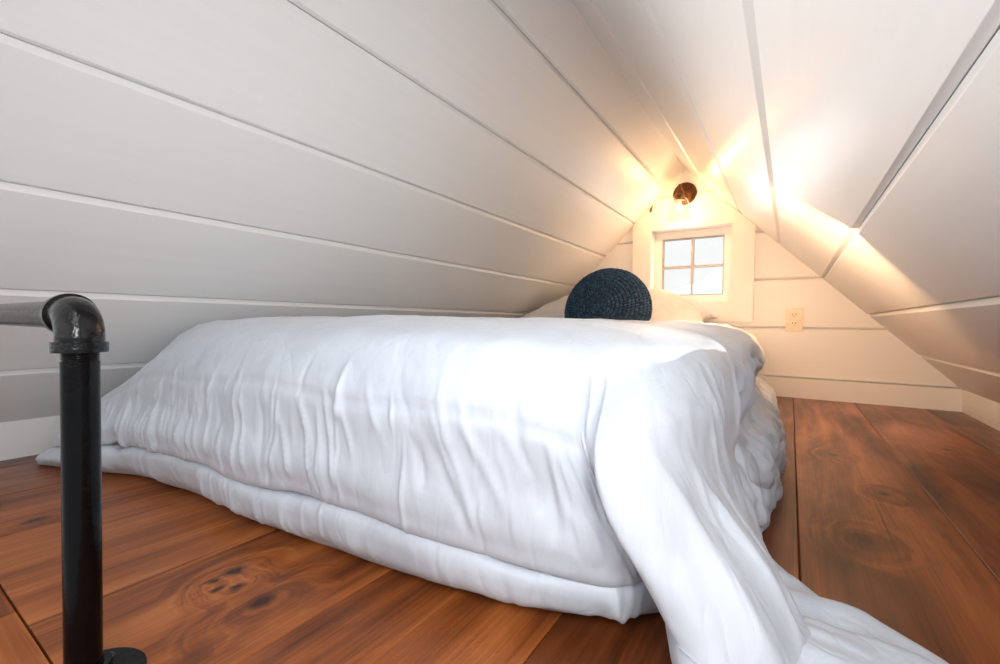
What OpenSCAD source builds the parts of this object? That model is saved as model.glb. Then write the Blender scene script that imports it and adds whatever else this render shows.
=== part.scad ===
// Sleeping loft of a tiny house: the upper end of the house, from the wall plates to the ridge,
// open at the front where the loft looks into the house, closed at the back by the gable wall.
// Right is +X, the gable wall is towards +Y, up is +Z. Sizes are in millimetres.

/* [Room] */
// Width of the floor between the feet of the two lining slopes
floor_w = 2280; // [2000:10:2500]
// Pitch of the roof above the floor, in degrees
roof_angle = 45; // [42:0.5:50]
// Depth of the floor, from its open edge to the gable lining
floor_depth = 2503; // [2460:1:3200]

/* [Floor] */
// Thickness of the floor planks
deck_t = 19; // [16:1:32]
// Width of the board across the open edge of the floor
edge_board_w = 140; // [110:1:200]
// Thickness of joists, rafters, studs and plates
timber_t = 38; // [30:1:50]
// Depth of the joists
joist_h = 140; // [90:1:190]
// Clear spaces between the joists
joist_bays = 6; // [4:1:8]

/* [Roof] */
// Depth of the rafters, and of the studs and plates in the walls
timber_d = 89; // [70:1:140]
// Clear spaces between the rafters
rafter_bays = 5; // [4:1:7]
// Thickness of the painted lining boards
lining_t = 18; // [12:1:25]
// Thickness of the roof boarding above the rafters
sheathing_t = 12; // [9:1:20]
// Thickness of the outer wall boarding
siding_t = 30; // [18:1:40]
// Thickness of the roof sheet
sheet_t = 2; // [1:0.5:3]
// Height of the standing seams
seam_h = 25; // [15:1:38]
// Width of each standing seam
seam_w = 12; // [8:1:20]
// Number of roof sheets side by side on each slope
sheet_count = 7; // [5:1:9]
// Reach of the ridge cap down each slope
cap_reach = 130; // [90:1:200]
// How far the sheet stands past the fascia and the rake boards
drip = 10; // [5:1:25]
// How far the rake boards show below the lining
rake_reveal = 10; // [4:1:40]

/* [Trim] */
// Thickness of the trim boards
trim_t = 18; // [12:1:25]
// Height of the baseboards
baseboard_h = 89; // [60:1:140]
// Width of the window casing boards
casing_w = 100; // [70:1:110]

/* [Window] */
// Place of the window's middle, right of the ridge line
window_x = 30; // [-60:1:60]
// Distance from the ridge line down to the head of the window opening
window_drop = 304; // [300:1:380]
// Width of the window opening between its jambs
window_w = 388; // [280:1:400]
// Height of the window opening between its jambs
window_h = 388; // [280:1:400]
// Thickness of the jamb boards
jamb_t = 19; // [12:1:25]
// Width of the sash bars round the glass
sash_w = 40; // [30:1:60]
// Thickness of the sash
sash_t = 35; // [25:1:45]
// Depth of the sash behind the lining's face
sash_depth = 58; // [30:1:60]
// Thickness of the glass
glass_t = 4; // [3:1:6]

/* [Outlet] */
// Place of the outlet, right of the ridge line
outlet_x = 490; // [440:1:600]
// Height of the outlet's middle above the floor
outlet_z = 361; // [200:1:380]
// Width of the cover plate
outlet_w = 70; // [60:1:80]
// Height of the cover plate
outlet_h = 114; // [100:1:125]

/* [Lamp] */
// Distance from the ridge line down to the middle of the wall lamp's plate
lamp_drop = 126; // [110:1:140]
// Diameter of the wall lamp's plate
lamp_plate_d = 116; // [80:1:120]
// Reach of the lamp's arm from the wall
lamp_reach = 130; // [100:1:160]
// Diameter of the glass shade at its mouth
shade_d = 112; // [90:1:130]
// Height of the glass shade
shade_h = 105; // [90:1:130]

/* [Guard rail] */
// Outer diameter of the rail's pipes
pipe_d = 26.7; // [21:0.1:34]
// Height of the rail's middle above the floor
rail_z = 338; // [250:1:420]
// Place of the right post, right of the ridge line
post_x = -50; // [-100:1:150]
// Distance from the left post to the slope beside it, at the rail's height
rail_gap = 112; // [60:1:250]
// Distance of the rail from the floor's open edge
rail_y = 147; // [60:1:200]

/* [Bed] */
// Width of the mattress
mattress_w = 1220; // [900:10:1240]
// Thickness of the mattress
mattress_h = 200; // [120:5:210]
// Gap between the mattress's top edge and the left slope
bed_gap = 45; // [30:1:90]
// Gap between the mattress and the baseboard at its head
head_gap = 25; // [10:1:60]
// Free floor between the open edge and the foot of the mattress
foot_space = 555; // [500:5:620]
// Height of the comforter's crown above the floor
crown_z = 335; // [300:1:360]
// How far the comforter hangs out past the foot of the mattress
foot_hang = 150; // [100:5:180]
// How far the comforter's hem stands out from the mattress's right side, at the foot
side_hang = 140; // [80:1:160]
// How far the same hem stands out at the head
head_hang = 22; // [10:1:60]
// How far the comforter's right corner runs out over the floor
tail_reach = 185; // [100:5:220]
// Gap between the pillow's left end and the slope
pillow_gap = 14; // [8:1:60]
// Width across the pillow
pillow_w = 900; // [500:10:920]
// Depth of the pillow, from its front edge to the wall
pillow_l = 450; // [380:10:520]
// Thickness of the pillow
pillow_h = 130; // [80:5:160]
// Diameter of the round cushion
cushion_d = 380; // [300:10:420]
// Thickness of the round cushion
cushion_t = 170; // [120:5:200]
// How far the round cushion leans towards the foot of the bed, in degrees
cushion_lean = 28; // [15:1:40]
// Place of the round cushion's middle, right of the pillow's middle
cushion_x = 88; // [-50:1:150]

/* [Hidden] */
$fn = 64;
// Gap that keeps two pieces from sharing a face where the real ones only lie side by side
ease = 1;

half_w = floor_w / 2;
floor_z = timber_t + joist_h + deck_t;
rafter_in = lining_t;
rafter_out = lining_t + timber_d;
sheathing_out = rafter_out + sheathing_t;
sheet_out = sheathing_out + sheet_t;
plate_x = half_w + timber_d;
wall_x = plate_x + siding_t;
fascia_x = wall_x + trim_t;
stud_y = floor_depth + lining_t;
frame_y = stud_y + timber_d;
wall_y = frame_y + siding_t;
roof_front_y = -trim_t - drip;
roof_back_y = wall_y + trim_t + drip;
// The middle of the part's depth is the origin's place
mid_y = (roof_front_y + roof_back_y) / 2;
// Bottom of the boarding under the eaves, level with the rafters' lower corner
eave_z = (half_w + rafter_in / sin(roof_angle) - wall_x) * tan(roof_angle);
casing_y = floor_depth - trim_t;

// How far from the ridge line a plane is at a height above the floor, where off is its distance
// outside the lining's face
function slope_x(z, off) = half_w + off / sin(roof_angle) - z / tan(roof_angle);
// Height of the same plane above the floor, at a distance from the ridge line
function slope_z(x, off) = (half_w + off / sin(roof_angle) - x) * tan(roof_angle);
// A point on the right slope: how far down from the ridge, and how far out from the lining
function slope_point(down, off) = [
    down * cos(roof_angle),
    slope_z(0, off) - down * sin(roof_angle)];

ridge_z = slope_z(0, 0);
window_z = ridge_z - window_drop - window_h;
lamp_z = ridge_z - lamp_drop;

paint = "white";
stain = "sienna";
raw_timber = "burlywood";
roof_metal = "lightgray";
pipe_black = [0.06, 0.06, 0.07];
bronze = [0.35, 0.22, 0.14];

// Everything is drawn above the floor's top with the open edge at y = 0, and then moved as one
module placed() {
    translate([0, -mid_y, floor_z]) children();
}
// An outline in the plane of the gable, drawn out along the house
module along_house(y0, y1) {
    translate([0, y1, 0]) rotate([90, 0, 0]) linear_extrude(height = y1 - y0) children();
}
module left() {
    mirror([1, 0, 0]) children();
}
module both_sides() {
    children();
    left() children();
}
module block(x0, x1, y0, y1, z0, z1) {
    translate([x0, y0, z0]) cube([x1 - x0, y1 - y0, z1 - z0]);
}

// Floor

module wall_plates() {
    color(raw_timber) both_sides()
        block(half_w, plate_x, 0, frame_y, -floor_z, timber_t - floor_z);
}
module back_wall_plate() {
    color(raw_timber)
        block(-half_w, half_w, stud_y, frame_y, -floor_z, timber_t - floor_z);
}
module rim_joists() {
    color(raw_timber) both_sides()
        block(plate_x - timber_t, plate_x, 0, frame_y, -deck_t - joist_h, -deck_t);
}
// A beam between the two rims, with its front face at y
module cross_timber(y) {
    block(timber_t - plate_x, plate_x - timber_t, y, y + timber_t, -deck_t - joist_h, -deck_t);
}
module floor_joists() {
    step = (frame_y - timber_t) / joist_bays;
    color(stain) for (i = [1 : joist_bays]) cross_timber(step * i);
}
module front_beam() {
    color(stain) cross_timber(0);
}
edge_board_x = half_w - 2 * trim_t;
module floor_deck() {
    color(stain) translate([0, 0, -deck_t]) linear_extrude(height = deck_t) polygon([
        [-plate_x, 0], [-edge_board_x, 0], [-edge_board_x, edge_board_w],
        [edge_board_x, edge_board_w], [edge_board_x, 0], [plate_x, 0],
        [plate_x, frame_y], [-plate_x, frame_y]]);
}
// The board across the open edge has a rounded nose that stands past the beam
module edge_board() {
    nose = deck_t / 2;
    color(stain) {
        block(-edge_board_x, edge_board_x, -nose, edge_board_w, -deck_t, 0);
        translate([-edge_board_x, -nose, -nose]) rotate([0, 90, 0])
            cylinder(h = 2 * edge_board_x, r = nose);
    }
}

// Roof

// The right half of a layer of the roof, between two distances outside the lining's face
module roof_layer(off_in, off_out, eave_x) {
    polygon([
        [0, slope_z(0, off_in)], [0, slope_z(0, off_out)],
        [eave_x, slope_z(eave_x, off_out)], [eave_x, slope_z(eave_x, off_in)]]);
}
module lining() {
    color(paint) along_house(0, floor_depth) polygon([
        [0, slope_z(0, 0)], [0, slope_z(0, lining_t)],
        [slope_x(0, lining_t), 0], [slope_x(0, 0), 0]]);
}
// Each rafter leans on the ridge board and sits on the floor's edge with a birdsmouth
module rafters() {
    ridge_x = trim_t / 2;
    step = (frame_y - timber_t) / rafter_bays;
    color(raw_timber) for (i = [0 : rafter_bays])
        along_house(step * i, step * i + timber_t) polygon([
            [ridge_x, slope_z(ridge_x, rafter_in)], [ridge_x, slope_z(ridge_x, rafter_out)],
            [wall_x, slope_z(wall_x, rafter_out)], [wall_x, eave_z],
            [plate_x, slope_z(plate_x, rafter_in)], [plate_x, 0], [slope_x(0, rafter_in), 0]]);
}
module ridge_board() {
    x = trim_t / 2;
    color(raw_timber) along_house(0, frame_y) polygon([
        [0, slope_z(0, rafter_in)], [x, slope_z(x, rafter_in)], [x, slope_z(x, rafter_out)],
        [0, slope_z(0, rafter_out)], [-x, slope_z(x, rafter_out)], [-x, slope_z(x, rafter_in)]]);
}
module sheathing() {
    color(raw_timber) along_house(0, wall_y)
        roof_layer(rafter_out, sheathing_out, fascia_x);
}
sheet_eave_x = fascia_x + drip;
module roof_sheet() {
    color(roof_metal) along_house(roof_front_y, roof_back_y)
        roof_layer(sheathing_out, sheet_out, sheet_eave_x);
}
// The sheets' upstands are folded together into seams that stop at the ridge cap
module roof_seams() {
    sheet_w = (roof_back_y - roof_front_y - seam_w) / sheet_count;
    seam_out = sheet_out + seam_h;
    color(roof_metal) for (i = [0 : sheet_count])
        along_house(roof_front_y + sheet_w * i, roof_front_y + sheet_w * i + seam_w) polygon([
            slope_point(cap_reach, sheet_out), slope_point(cap_reach, seam_out),
            [sheet_eave_x, slope_z(sheet_eave_x, seam_out)],
            [sheet_eave_x, slope_z(sheet_eave_x, sheet_out)]]);
}
// A folded cap stands over the seams' ends, with a leg down to the sheet on each slope
module ridge_cap() {
    cap_in = sheet_out + seam_h;
    cap_out = cap_in + sheet_t;
    right_half = [
        slope_point(cap_reach, cap_out), slope_point(cap_reach, sheet_out),
        slope_point(cap_reach - sheet_t, sheet_out), slope_point(cap_reach - sheet_t, cap_in)];
    left_half = [for (i = [3 : -1 : 0]) [-right_half[i][0], right_half[i][1]]];
    color(roof_metal) along_house(roof_front_y, roof_back_y) polygon(concat(
        [[0, slope_z(0, cap_out)]], right_half, [[0, slope_z(0, cap_in)]], left_half));
}
module side_siding() {
    color(paint) both_sides() block(plate_x, wall_x, 0, frame_y, -floor_z, eave_z);
}
module fascias() {
    color(paint) both_sides() along_house(0, wall_y) polygon([
        [wall_x, eave_z], [wall_x, slope_z(wall_x, rafter_out)],
        [fascia_x, slope_z(fascia_x, rafter_out)], [fascia_x, eave_z]]);
}
// At each end a rake board covers the ends of lining, rafters and boarding, and is cut plumb at the eave
module rakes() {
    color(paint) for (y0 = [-trim_t, wall_y]) along_house(y0, y0 + trim_t) polygon([
        [0, slope_z(0, -rake_reveal)], [0, slope_z(0, sheathing_out)],
        [fascia_x, slope_z(fascia_x, sheathing_out)], [fascia_x, eave_z],
        [slope_x(eave_z, -rake_reveal), eave_z]]);
}

// Gable wall

module gable_triangle(off) {
    polygon([[-slope_x(0, off), 0], [slope_x(0, off), 0], [0, slope_z(0, off)]]);
}
// The window's rectangle, grown all round
module window_outline(grow) {
    translate([window_x - window_w / 2 - grow, window_z - grow])
        square([window_w + 2 * grow, window_h + 2 * grow]);
}
module gable_lining() {
    color(paint) along_house(floor_depth, stud_y) difference() {
        gable_triangle(rafter_in);
        window_outline(jamb_t);
    }
}
// Bottom plate, two raking plates, and the trimmers, sill and header round the window
module gable_frame() {
    rough = jamb_t + timber_t;
    color(raw_timber) along_house(stud_y, frame_y) difference() {
        union() {
            difference() {
                gable_triangle(rafter_in);
                translate([0, timber_t])
                    gable_triangle(rafter_in - timber_t * (1 + cos(roof_angle)));
            }
            intersection() {
                gable_triangle(rafter_in);
                union() {
                    window_outline(rough);
                    for (side = [-1, 1])
                        translate([window_x + side * (window_w / 2 + rough) - (side > 0 ? timber_t : 0), 0])
                            square([timber_t, slope_z(0, 0)]);
                    for (x = [-floor_w / 3, floor_w / 3])
                        translate([x - timber_t / 2, 0]) square([timber_t, slope_z(0, 0)]);
                }
            }
        }
        window_outline(jamb_t);
    }
}
module gable_siding() {
    color(paint) along_house(frame_y, wall_y) difference() {
        polygon([
            [-wall_x, -floor_z], [wall_x, -floor_z], [wall_x, slope_z(wall_x, rafter_out)],
            [0, slope_z(0, rafter_out)], [-wall_x, slope_z(wall_x, rafter_out)]]);
        window_outline(jamb_t);
    }
}

// Window

module window_jamb() {
    color(paint) along_house(floor_depth, wall_y) difference() {
        window_outline(jamb_t);
        window_outline(0);
    }
}
sash_y = floor_depth + sash_depth;
module window_sash() {
    color(paint) difference() {
        along_house(sash_y, sash_y + sash_t) difference() {
            window_outline(0);
            window_outline(-sash_w);
        }
        // The rabbet that holds the glass from behind
        along_house(sash_y + sash_t / 2, sash_y + sash_t + 1) window_outline(glass_t * 2 - sash_w);
    }
}
module window_glass() {
    glass_y = sash_y + sash_t / 2;
    color([0.85, 0.93, 0.97, 0.4]) along_house(glass_y, glass_y + glass_t)
        window_outline(glass_t * 2 - sash_w);
}
// The casing stands on the lining, and its upper corners are cut to the slopes
module casing_board(x0, x1, z0, z1) {
    color(paint) along_house(casing_y, floor_depth) intersection() {
        translate([x0, z0]) square([x1 - x0, z1 - z0]);
        gable_triangle(-ease);
    }
}
casing_in = window_w / 2;
casing_out = casing_in + casing_w;
casing_top = window_z + window_h + casing_w;
module side_casings() {
    for (x = [window_x - casing_out, window_x + casing_in])
        casing_board(x, x + casing_w, window_z - casing_w, casing_top);
}
module cross_casings() {
    for (z = [window_z - casing_w, window_z + window_h])
        casing_board(window_x - casing_in, window_x + casing_in, z, z + casing_w);
}
module outer_casing() {
    color(paint) along_house(wall_y, wall_y + trim_t) difference() {
        intersection() {
            window_outline(casing_w);
            gable_triangle(-rake_reveal - ease);
        }
        window_outline(0);
    }
}

// Baseboards and outlet

module gable_baseboard() {
    x = slope_x(baseboard_h, 0);
    color(paint) block(-x, x, casing_y, floor_depth, 0, baseboard_h);
}
// The side baseboards stand upright, with their tops bevelled to the slope
module side_baseboards() {
    x = slope_x(baseboard_h, 0);
    color(paint) both_sides() along_house(0, floor_depth) polygon([
        [x, 0], [x, baseboard_h], [x + trim_t, slope_z(x + trim_t, 0)], [x + trim_t, 0]]);
}
module outlet() {
    plate_t = 6;
    rim = 3;
    // The two round faces that take the plugs, cut flat above and below
    face_z = 20;
    face_d = 34;
    face_h = 28;
    face_t = plate_t + 2;
    slot_w = 2.4;
    slot_h = 8;
    slot_x = 6.5;
    pin_d = 5;
    depth = 20;
    color("linen") translate([outlet_x, floor_depth, outlet_z]) difference() {
        union() {
            block(-outlet_w / 2, outlet_w / 2, -plate_t + rim, 0, -outlet_h / 2, outlet_h / 2);
            block(rim - outlet_w / 2, outlet_w / 2 - rim, -plate_t, 0,
                rim - outlet_h / 2, outlet_h / 2 - rim);
            for (z = [-face_z, face_z]) translate([0, 0, z]) rotate([90, 0, 0]) intersection() {
                cylinder(h = face_t, d = face_d);
                translate([-face_d / 2, -face_h / 2, 0]) cube([face_d, face_h, face_t]);
            }
        }
        for (z = [-face_z, face_z]) {
            for (x = [-slot_x, slot_x])
                block(x - slot_w / 2, x + slot_w / 2, -depth, 2 - plate_t, z, z + slot_h);
            translate([0, 2 - plate_t, z - pin_d - 1]) rotate([90, 0, 0]) cylinder(h = depth, d = pin_d);
        }
    }
}

// Lamp on the gable wall, under the ridge

module lamp_place() {
    translate([0, floor_depth, lamp_z]) children();
}
// Length of a lamp's or a pipe's short neck
neck_l = 8;
arm_d = 12;
arm_start = 22;
module lamp_plate() {
    step = lamp_plate_d / 10;
    color(bronze) lamp_place() rotate([90, 0, 0]) {
        cylinder(h = 8, d = lamp_plate_d);
        cylinder(h = 14, d = lamp_plate_d - 2 * step);
        cylinder(h = arm_start, d = arm_d * 2);
    }
}
socket_d = 52;
socket_top = 18;
socket_low = -66;
// A level arm runs into the neck of the socket, which widens downwards and holds shade and bulb
module lamp_arm() {
    neck_r = arm_d / 2 + 2;
    socket_r = socket_d / 2;
    color(bronze) lamp_place() {
        translate([0, -arm_start, 0]) rotate([90, 0, 0]) cylinder(h = lamp_reach - arm_start, d = arm_d);
        translate([0, -lamp_reach, 0]) rotate_extrude() polygon([
            [0, socket_top], [neck_r - 3, socket_top], [neck_r, socket_top - 4],
            [neck_r, -12], [socket_r - 8, -30], [socket_r, -40], [socket_r, socket_low], [0, socket_low]]);
    }
}
shade_top_z = socket_low + 12;
module shade_profile(grow) {
    neck = socket_d / 2 + 1 + grow;
    mouth = shade_d / 2 - 2 + grow;
    polygon(concat(
        [for (i = [0 : 12]) [
            neck + (mouth - neck) * pow(sin(i * 7.5), 0.7), -shade_h * pow(i / 12, 1.5)]],
        [[0, -shade_h], [0, 0]]));
}
module lamp_shade() {
    color([0.9, 0.95, 1, 0.35]) lamp_place() translate([0, -lamp_reach, shade_top_z])
        rotate_extrude() difference() {
            shade_profile(2);
            translate([0, -0.01]) shade_profile(0);
            translate([0, -shade_h - 1]) square([shade_d / 2 - 2, 2]);
        }
}
module lamp_bulb() {
    bulb_r = 26;
    neck_r = 13;
    color("lightyellow") lamp_place() translate([0, -lamp_reach, socket_low]) {
        translate([0, 0, -bulb_r - neck_l]) sphere(r = bulb_r);
        translate([0, 0, -neck_l * 2]) cylinder(h = neck_l * 2, r = neck_r);
    }
}

// Guard rail of threaded pipe

elbow_reach = 33;
elbow_body_d = pipe_d + 7;
band_d = pipe_d + 12;
band_w = 9;
flange_d = 89;
flange_t = 6;
hub_h = 22;
left_post_x = rail_gap - slope_x(rail_z, 0);
module rail_posts() {
    color(pipe_black) for (x = [left_post_x, post_x]) translate([x, rail_y, hub_h]) {
        cylinder(h = rail_z - elbow_reach - hub_h - neck_l, d = pipe_d);
        cylinder(h = rail_z - elbow_reach - hub_h, d = pipe_d - 2);
    }
}
// The threaded ends that show beside each elbow are a little thinner than the pipe
module rail_pipe() {
    x0 = left_post_x + elbow_reach;
    length = post_x - left_post_x - 2 * elbow_reach;
    color(pipe_black) translate([x0, rail_y, rail_z]) rotate([0, 90, 0]) {
        cylinder(h = length, d = pipe_d - 2);
        translate([0, 0, neck_l]) cylinder(h = length - 2 * neck_l, d = pipe_d);
    }
}
// A malleable elbow: a quarter turn of round body with a rolled band at each mouth
module elbow() {
    bend_r = elbow_body_d / 2 + 3;
    straight = elbow_reach - bend_r;
    color(pipe_black) {
        translate([-bend_r, 0, -bend_r]) rotate([90, 0, 0])
            rotate_extrude(angle = 90) translate([bend_r, 0]) circle(d = elbow_body_d, $fn = 48);
        translate([0, 0, -elbow_reach]) cylinder(h = straight, d = elbow_body_d);
        translate([-elbow_reach, 0, 0]) rotate([0, 90, 0]) cylinder(h = straight, d = elbow_body_d);
        translate([0, 0, -elbow_reach]) cylinder(h = band_w, d = band_d);
        translate([-elbow_reach, 0, 0]) rotate([0, 90, 0]) cylinder(h = band_w, d = band_d);
    }
}
module rail_elbows() {
    translate([post_x, rail_y, rail_z]) elbow();
    translate([left_post_x, rail_y, rail_z]) left() elbow();
}
module rail_flanges() {
    hole_r = 3;
    color(pipe_black) for (x = [left_post_x, post_x]) translate([x, rail_y, 0]) difference() {
        union() {
            cylinder(h = flange_t, d = flange_d);
            cylinder(h = hub_h, d1 = elbow_body_d + 10, d2 = band_d);
        }
        for (turn = [45 : 90 : 315]) rotate([0, 0, turn])
            translate([flange_d * 0.37, 0, -1]) cylinder(h = flange_t + 2, r = hole_r);
    }
}

// Bed

mattress_left = bed_gap - slope_x(mattress_h, 0);
mattress_right = mattress_left + mattress_w;
mattress_mid = mattress_left + mattress_w / 2;
mattress_y = foot_space;
mattress_back_y = casing_y - head_gap;
module mattress() {
    r = 60;
    color("whitesmoke") hull()
        for (x = [mattress_left + r, mattress_right - r], y = [mattress_y + r, mattress_back_y - r])
            translate([x, y, 0]) cylinder(h = mattress_h, r = r, $fn = 32);
}

// The comforter is lofted along the bed: each station is an arch over the mattress
comforter_y0 = mattress_y - foot_hang;
comforter_l = mattress_back_y - comforter_y0;
left_hang = 30;
// Gap between the comforter and the slope beside it
slope_gap = 8;
// Behind its front edge the comforter needs this length to take its full form
foot_l = 300;
// The left corner fills the room towards the slope, and lies nearer to the open edge, and lower
corner_fill = 90;
corner_pull = 130;
corner_drop = 0.45;
// How square the arch is, above and at its sides
arch_top = 0.42;
arch_side = 0.5;
// Behind the foot the right hem keeps its reach for this length, and then draws in towards the head
hem_keep = 650;
draw_in_y = mattress_y + hem_keep;
arch_n = 26;
function clamp01(t) = max(0, min(1, t));
function smooth(t) = let (c = clamp01(t)) c * c * (3 - 2 * c);
function power(v, e) = sign(v) * pow(abs(v), e);
// How far the arch has risen behind the foot of the bed, and how it falls again at the head
function rise(y) = pow(sin(90 * clamp01((y - comforter_y0) / (foot_hang + 20) + 0.1)), 0.5)
    * (1 - 0.12 * smooth(1 - (mattress_back_y - y) / 90));
// A corner runs out over the floor as a low tail, widest at the foot of the mattress
function tail(y, spread) = let (d = (y - mattress_y) / spread) exp(-d * d);
function arch_left(y) = mattress_left - left_hang + 90 * (1 - rise(y));
function arch_right(y) = mattress_right + side_hang - 90 * (1 - rise(y))
    - (side_hang - head_hang) * smooth((y - draw_in_y) / (mattress_back_y - draw_in_y));
function arch_point(s, i) =
    let (turn = 180 - 180 * i / arch_n,
         near = 1 - smooth(s / foot_l),
         left_share = clamp01(-cos(turn)),
         y = comforter_y0 + s,
         z = crown_z * rise(y) * power(sin(turn), arch_top) * (1 - corner_drop * near * left_share),
         reach = cos(turn) < 0 ? mattress_mid - arch_left(y) : arch_right(y) - mattress_mid,
         low = smooth(1 - z / 150),
         flare = cos(turn) > 0 ? tail_reach * tail(y, 190) * low : -corner_fill * tail(y, 330) * low,
         x = mattress_mid + reach * power(cos(turn), arch_side) + flare)
    [max(x, slope_gap - slope_x(max(z, baseboard_h), 0)), y - corner_pull * near * pow(left_share, 2), z];
stations = concat(
    [for (s = [0, 12, 30, 55, 85, 120, 160, 200, 240, 280, 330, 390, 460, 560, 700, 900, 1150, 1450]) s],
    [for (s = [180, 90, 50, 20, 0]) comforter_l - s]);
// The comforter is solid but for the room that the mattress takes up
module comforter() {
    ring = arch_n + 1;
    last = len(stations) - 1;
    // The front is closed by a fan round a point on the floor, since its edge isn't flat
    hub = len(stations) * ring;
    points = concat([for (s = stations, i = [0 : arch_n]) arch_point(s, i)],
        [[mattress_mid, comforter_y0, 0]]);
    sides = [for (j = [0 : last - 1], i = [0 : arch_n]) let (
            a = j * ring + i, b = j * ring + (i + 1) % ring) each
        [[a, b + ring, b], [a, a + ring, b + ring]]];
    front = [for (i = [0 : arch_n]) [hub, i, (i + 1) % ring]];
    back = [for (i = [arch_n : -1 : 0]) last * ring + i];
    color("ghostwhite") difference() {
        polyhedron(points = points, faces = concat(front, sides, [back]), convexity = 6);
        block(mattress_left - ease, mattress_right + ease,
            mattress_y - ease, mattress_back_y + ease, -ease, mattress_h + ease);
    }
}

// A pillow is a square of cloth blown up between four corners, and lies on the comforter's head end
pillow_z = crown_z + pillow_h / 2 + 6;
pillow_mid = pillow_gap + pillow_w / 2 - slope_x(pillow_z, 0);
pillow_tilt = 8;
pillow_y = mattress_back_y - pillow_l / 2 - 10;
pillow_n = 14;
function pillow_bulge(u, v) = pow(max(0, (1 - pow(abs(u), 2.6)) * (1 - pow(abs(v), 2.6))), 0.55);
module pillow() {
    n = pillow_n;
    top = [for (j = [0 : n], i = [0 : n]) let (u = 2 * i / n - 1, v = 2 * j / n - 1)
        [u * pillow_w / 2, v * pillow_l / 2, pillow_h / 2 * pillow_bulge(u, v) + 3]];
    low = [for (p = top) [p[0], p[1], -p[2]]];
    m = n + 1;
    k = m * m;
    cells = [for (j = [0 : n - 1], i = [0 : n - 1]) j * m + i];
    upper = [for (a = cells) each [[a, a + m, a + m + 1], [a, a + m + 1, a + 1]]];
    lower = [for (a = cells) each [[k + a, k + a + m + 1, k + a + m], [k + a, k + a + 1, k + a + m + 1]]];
    edge = concat([for (i = [0 : n - 1]) i], [for (j = [0 : n - 1]) j * m + n],
        [for (i = [n : -1 : 1]) n * m + i], [for (j = [n : -1 : 1]) j * m]);
    skirt = [for (i = [0 : len(edge) - 1]) let (a = edge[i], b = edge[(i + 1) % len(edge)]) each
        [[a, b, k + b], [a, k + b, k + a]]];
    color("white") translate([pillow_mid, pillow_y, pillow_z])
        rotate([pillow_tilt, 0, 0])
            polyhedron(points = concat(top, low), faces = concat(upper, lower, skirt));
}
// A knitted round cushion lies before the pillow and leans on it
module round_cushion() {
    r = cushion_d / 2;
    t = cushion_t / 2;
    // Half of its height and of its depth as it lies, and how far it laps over the pillow's edge
    rest = norm([r * sin(cushion_lean), t * cos(cushion_lean)]);
    reach = norm([r * cos(cushion_lean), t * sin(cushion_lean)]);
    lap = 50;
    color("steelblue")
        translate([pillow_mid + cushion_x, pillow_y - pillow_l / 2 - reach + lap, crown_z + rest])
            rotate([cushion_lean, 0, 0]) rotate_extrude() polygon(concat([[0, -t]],
                [for (a = [-84 : 12 : 84]) [r * power(cos(a), 0.85), t * power(sin(a), 0.95)]],
                [[0, t]]));
}

placed() wall_plates();
placed() back_wall_plate();
placed() rim_joists();
placed() floor_joists();
placed() front_beam();
placed() floor_deck();
placed() edge_board();
placed() left() rafters();  // left_rafters
placed() rafters();  // right_rafters
placed() ridge_board();
placed() left() lining();  // left_lining
placed() lining();  // right_lining
placed() left() sheathing();  // left_sheathing
placed() sheathing();  // right_sheathing
placed() left() roof_sheet();  // left_roof_sheet
placed() roof_sheet();  // right_roof_sheet
placed() left() roof_seams();  // left_roof_seams
placed() roof_seams();  // right_roof_seams
placed() ridge_cap();
placed() side_siding();
placed() fascias();
placed() left() rakes();  // left_rakes
placed() rakes();  // right_rakes
placed() gable_lining();
placed() gable_frame();
placed() gable_siding();
placed() window_jamb();
placed() window_sash();
placed() window_glass();
placed() side_casings();
placed() cross_casings();
placed() outer_casing();
placed() gable_baseboard();
placed() side_baseboards();
placed() outlet();
placed() lamp_plate();
placed() lamp_arm();
placed() lamp_shade();
placed() lamp_bulb();
placed() rail_posts();
placed() rail_elbows();
placed() rail_pipe();
placed() rail_flanges();
placed() mattress();
placed() comforter();
placed() pillow();
placed() round_cushion();
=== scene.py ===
# %% [markdown]
# # A sleeping loft under a gable roof
# The loft is the upper end of a tiny house: a plank floor between two slopes of painted boards,
# a small gable window, a guard rail of iron pipe, and a bed on the floor.
# The timber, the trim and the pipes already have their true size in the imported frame, so the frame is
# loaded first and never changed. Everything below adds boards, cloth and finish to it.

# %% Load the frame
import math

import bmesh
import bpy
import numpy as np
from mathutils import Matrix, Vector, noise


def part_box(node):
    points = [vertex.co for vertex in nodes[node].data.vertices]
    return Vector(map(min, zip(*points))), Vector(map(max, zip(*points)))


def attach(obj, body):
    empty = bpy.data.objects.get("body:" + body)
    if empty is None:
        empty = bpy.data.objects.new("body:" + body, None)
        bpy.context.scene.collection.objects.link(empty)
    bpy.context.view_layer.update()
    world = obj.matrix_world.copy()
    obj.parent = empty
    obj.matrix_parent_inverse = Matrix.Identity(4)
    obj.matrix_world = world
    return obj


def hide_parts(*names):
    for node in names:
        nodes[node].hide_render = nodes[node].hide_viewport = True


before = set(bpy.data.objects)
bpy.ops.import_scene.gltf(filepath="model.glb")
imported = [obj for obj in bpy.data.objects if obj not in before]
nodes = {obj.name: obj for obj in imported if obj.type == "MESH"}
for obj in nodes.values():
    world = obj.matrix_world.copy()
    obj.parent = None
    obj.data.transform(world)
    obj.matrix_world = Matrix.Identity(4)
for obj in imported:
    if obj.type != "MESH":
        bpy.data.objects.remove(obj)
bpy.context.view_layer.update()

scene = bpy.context.scene

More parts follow.
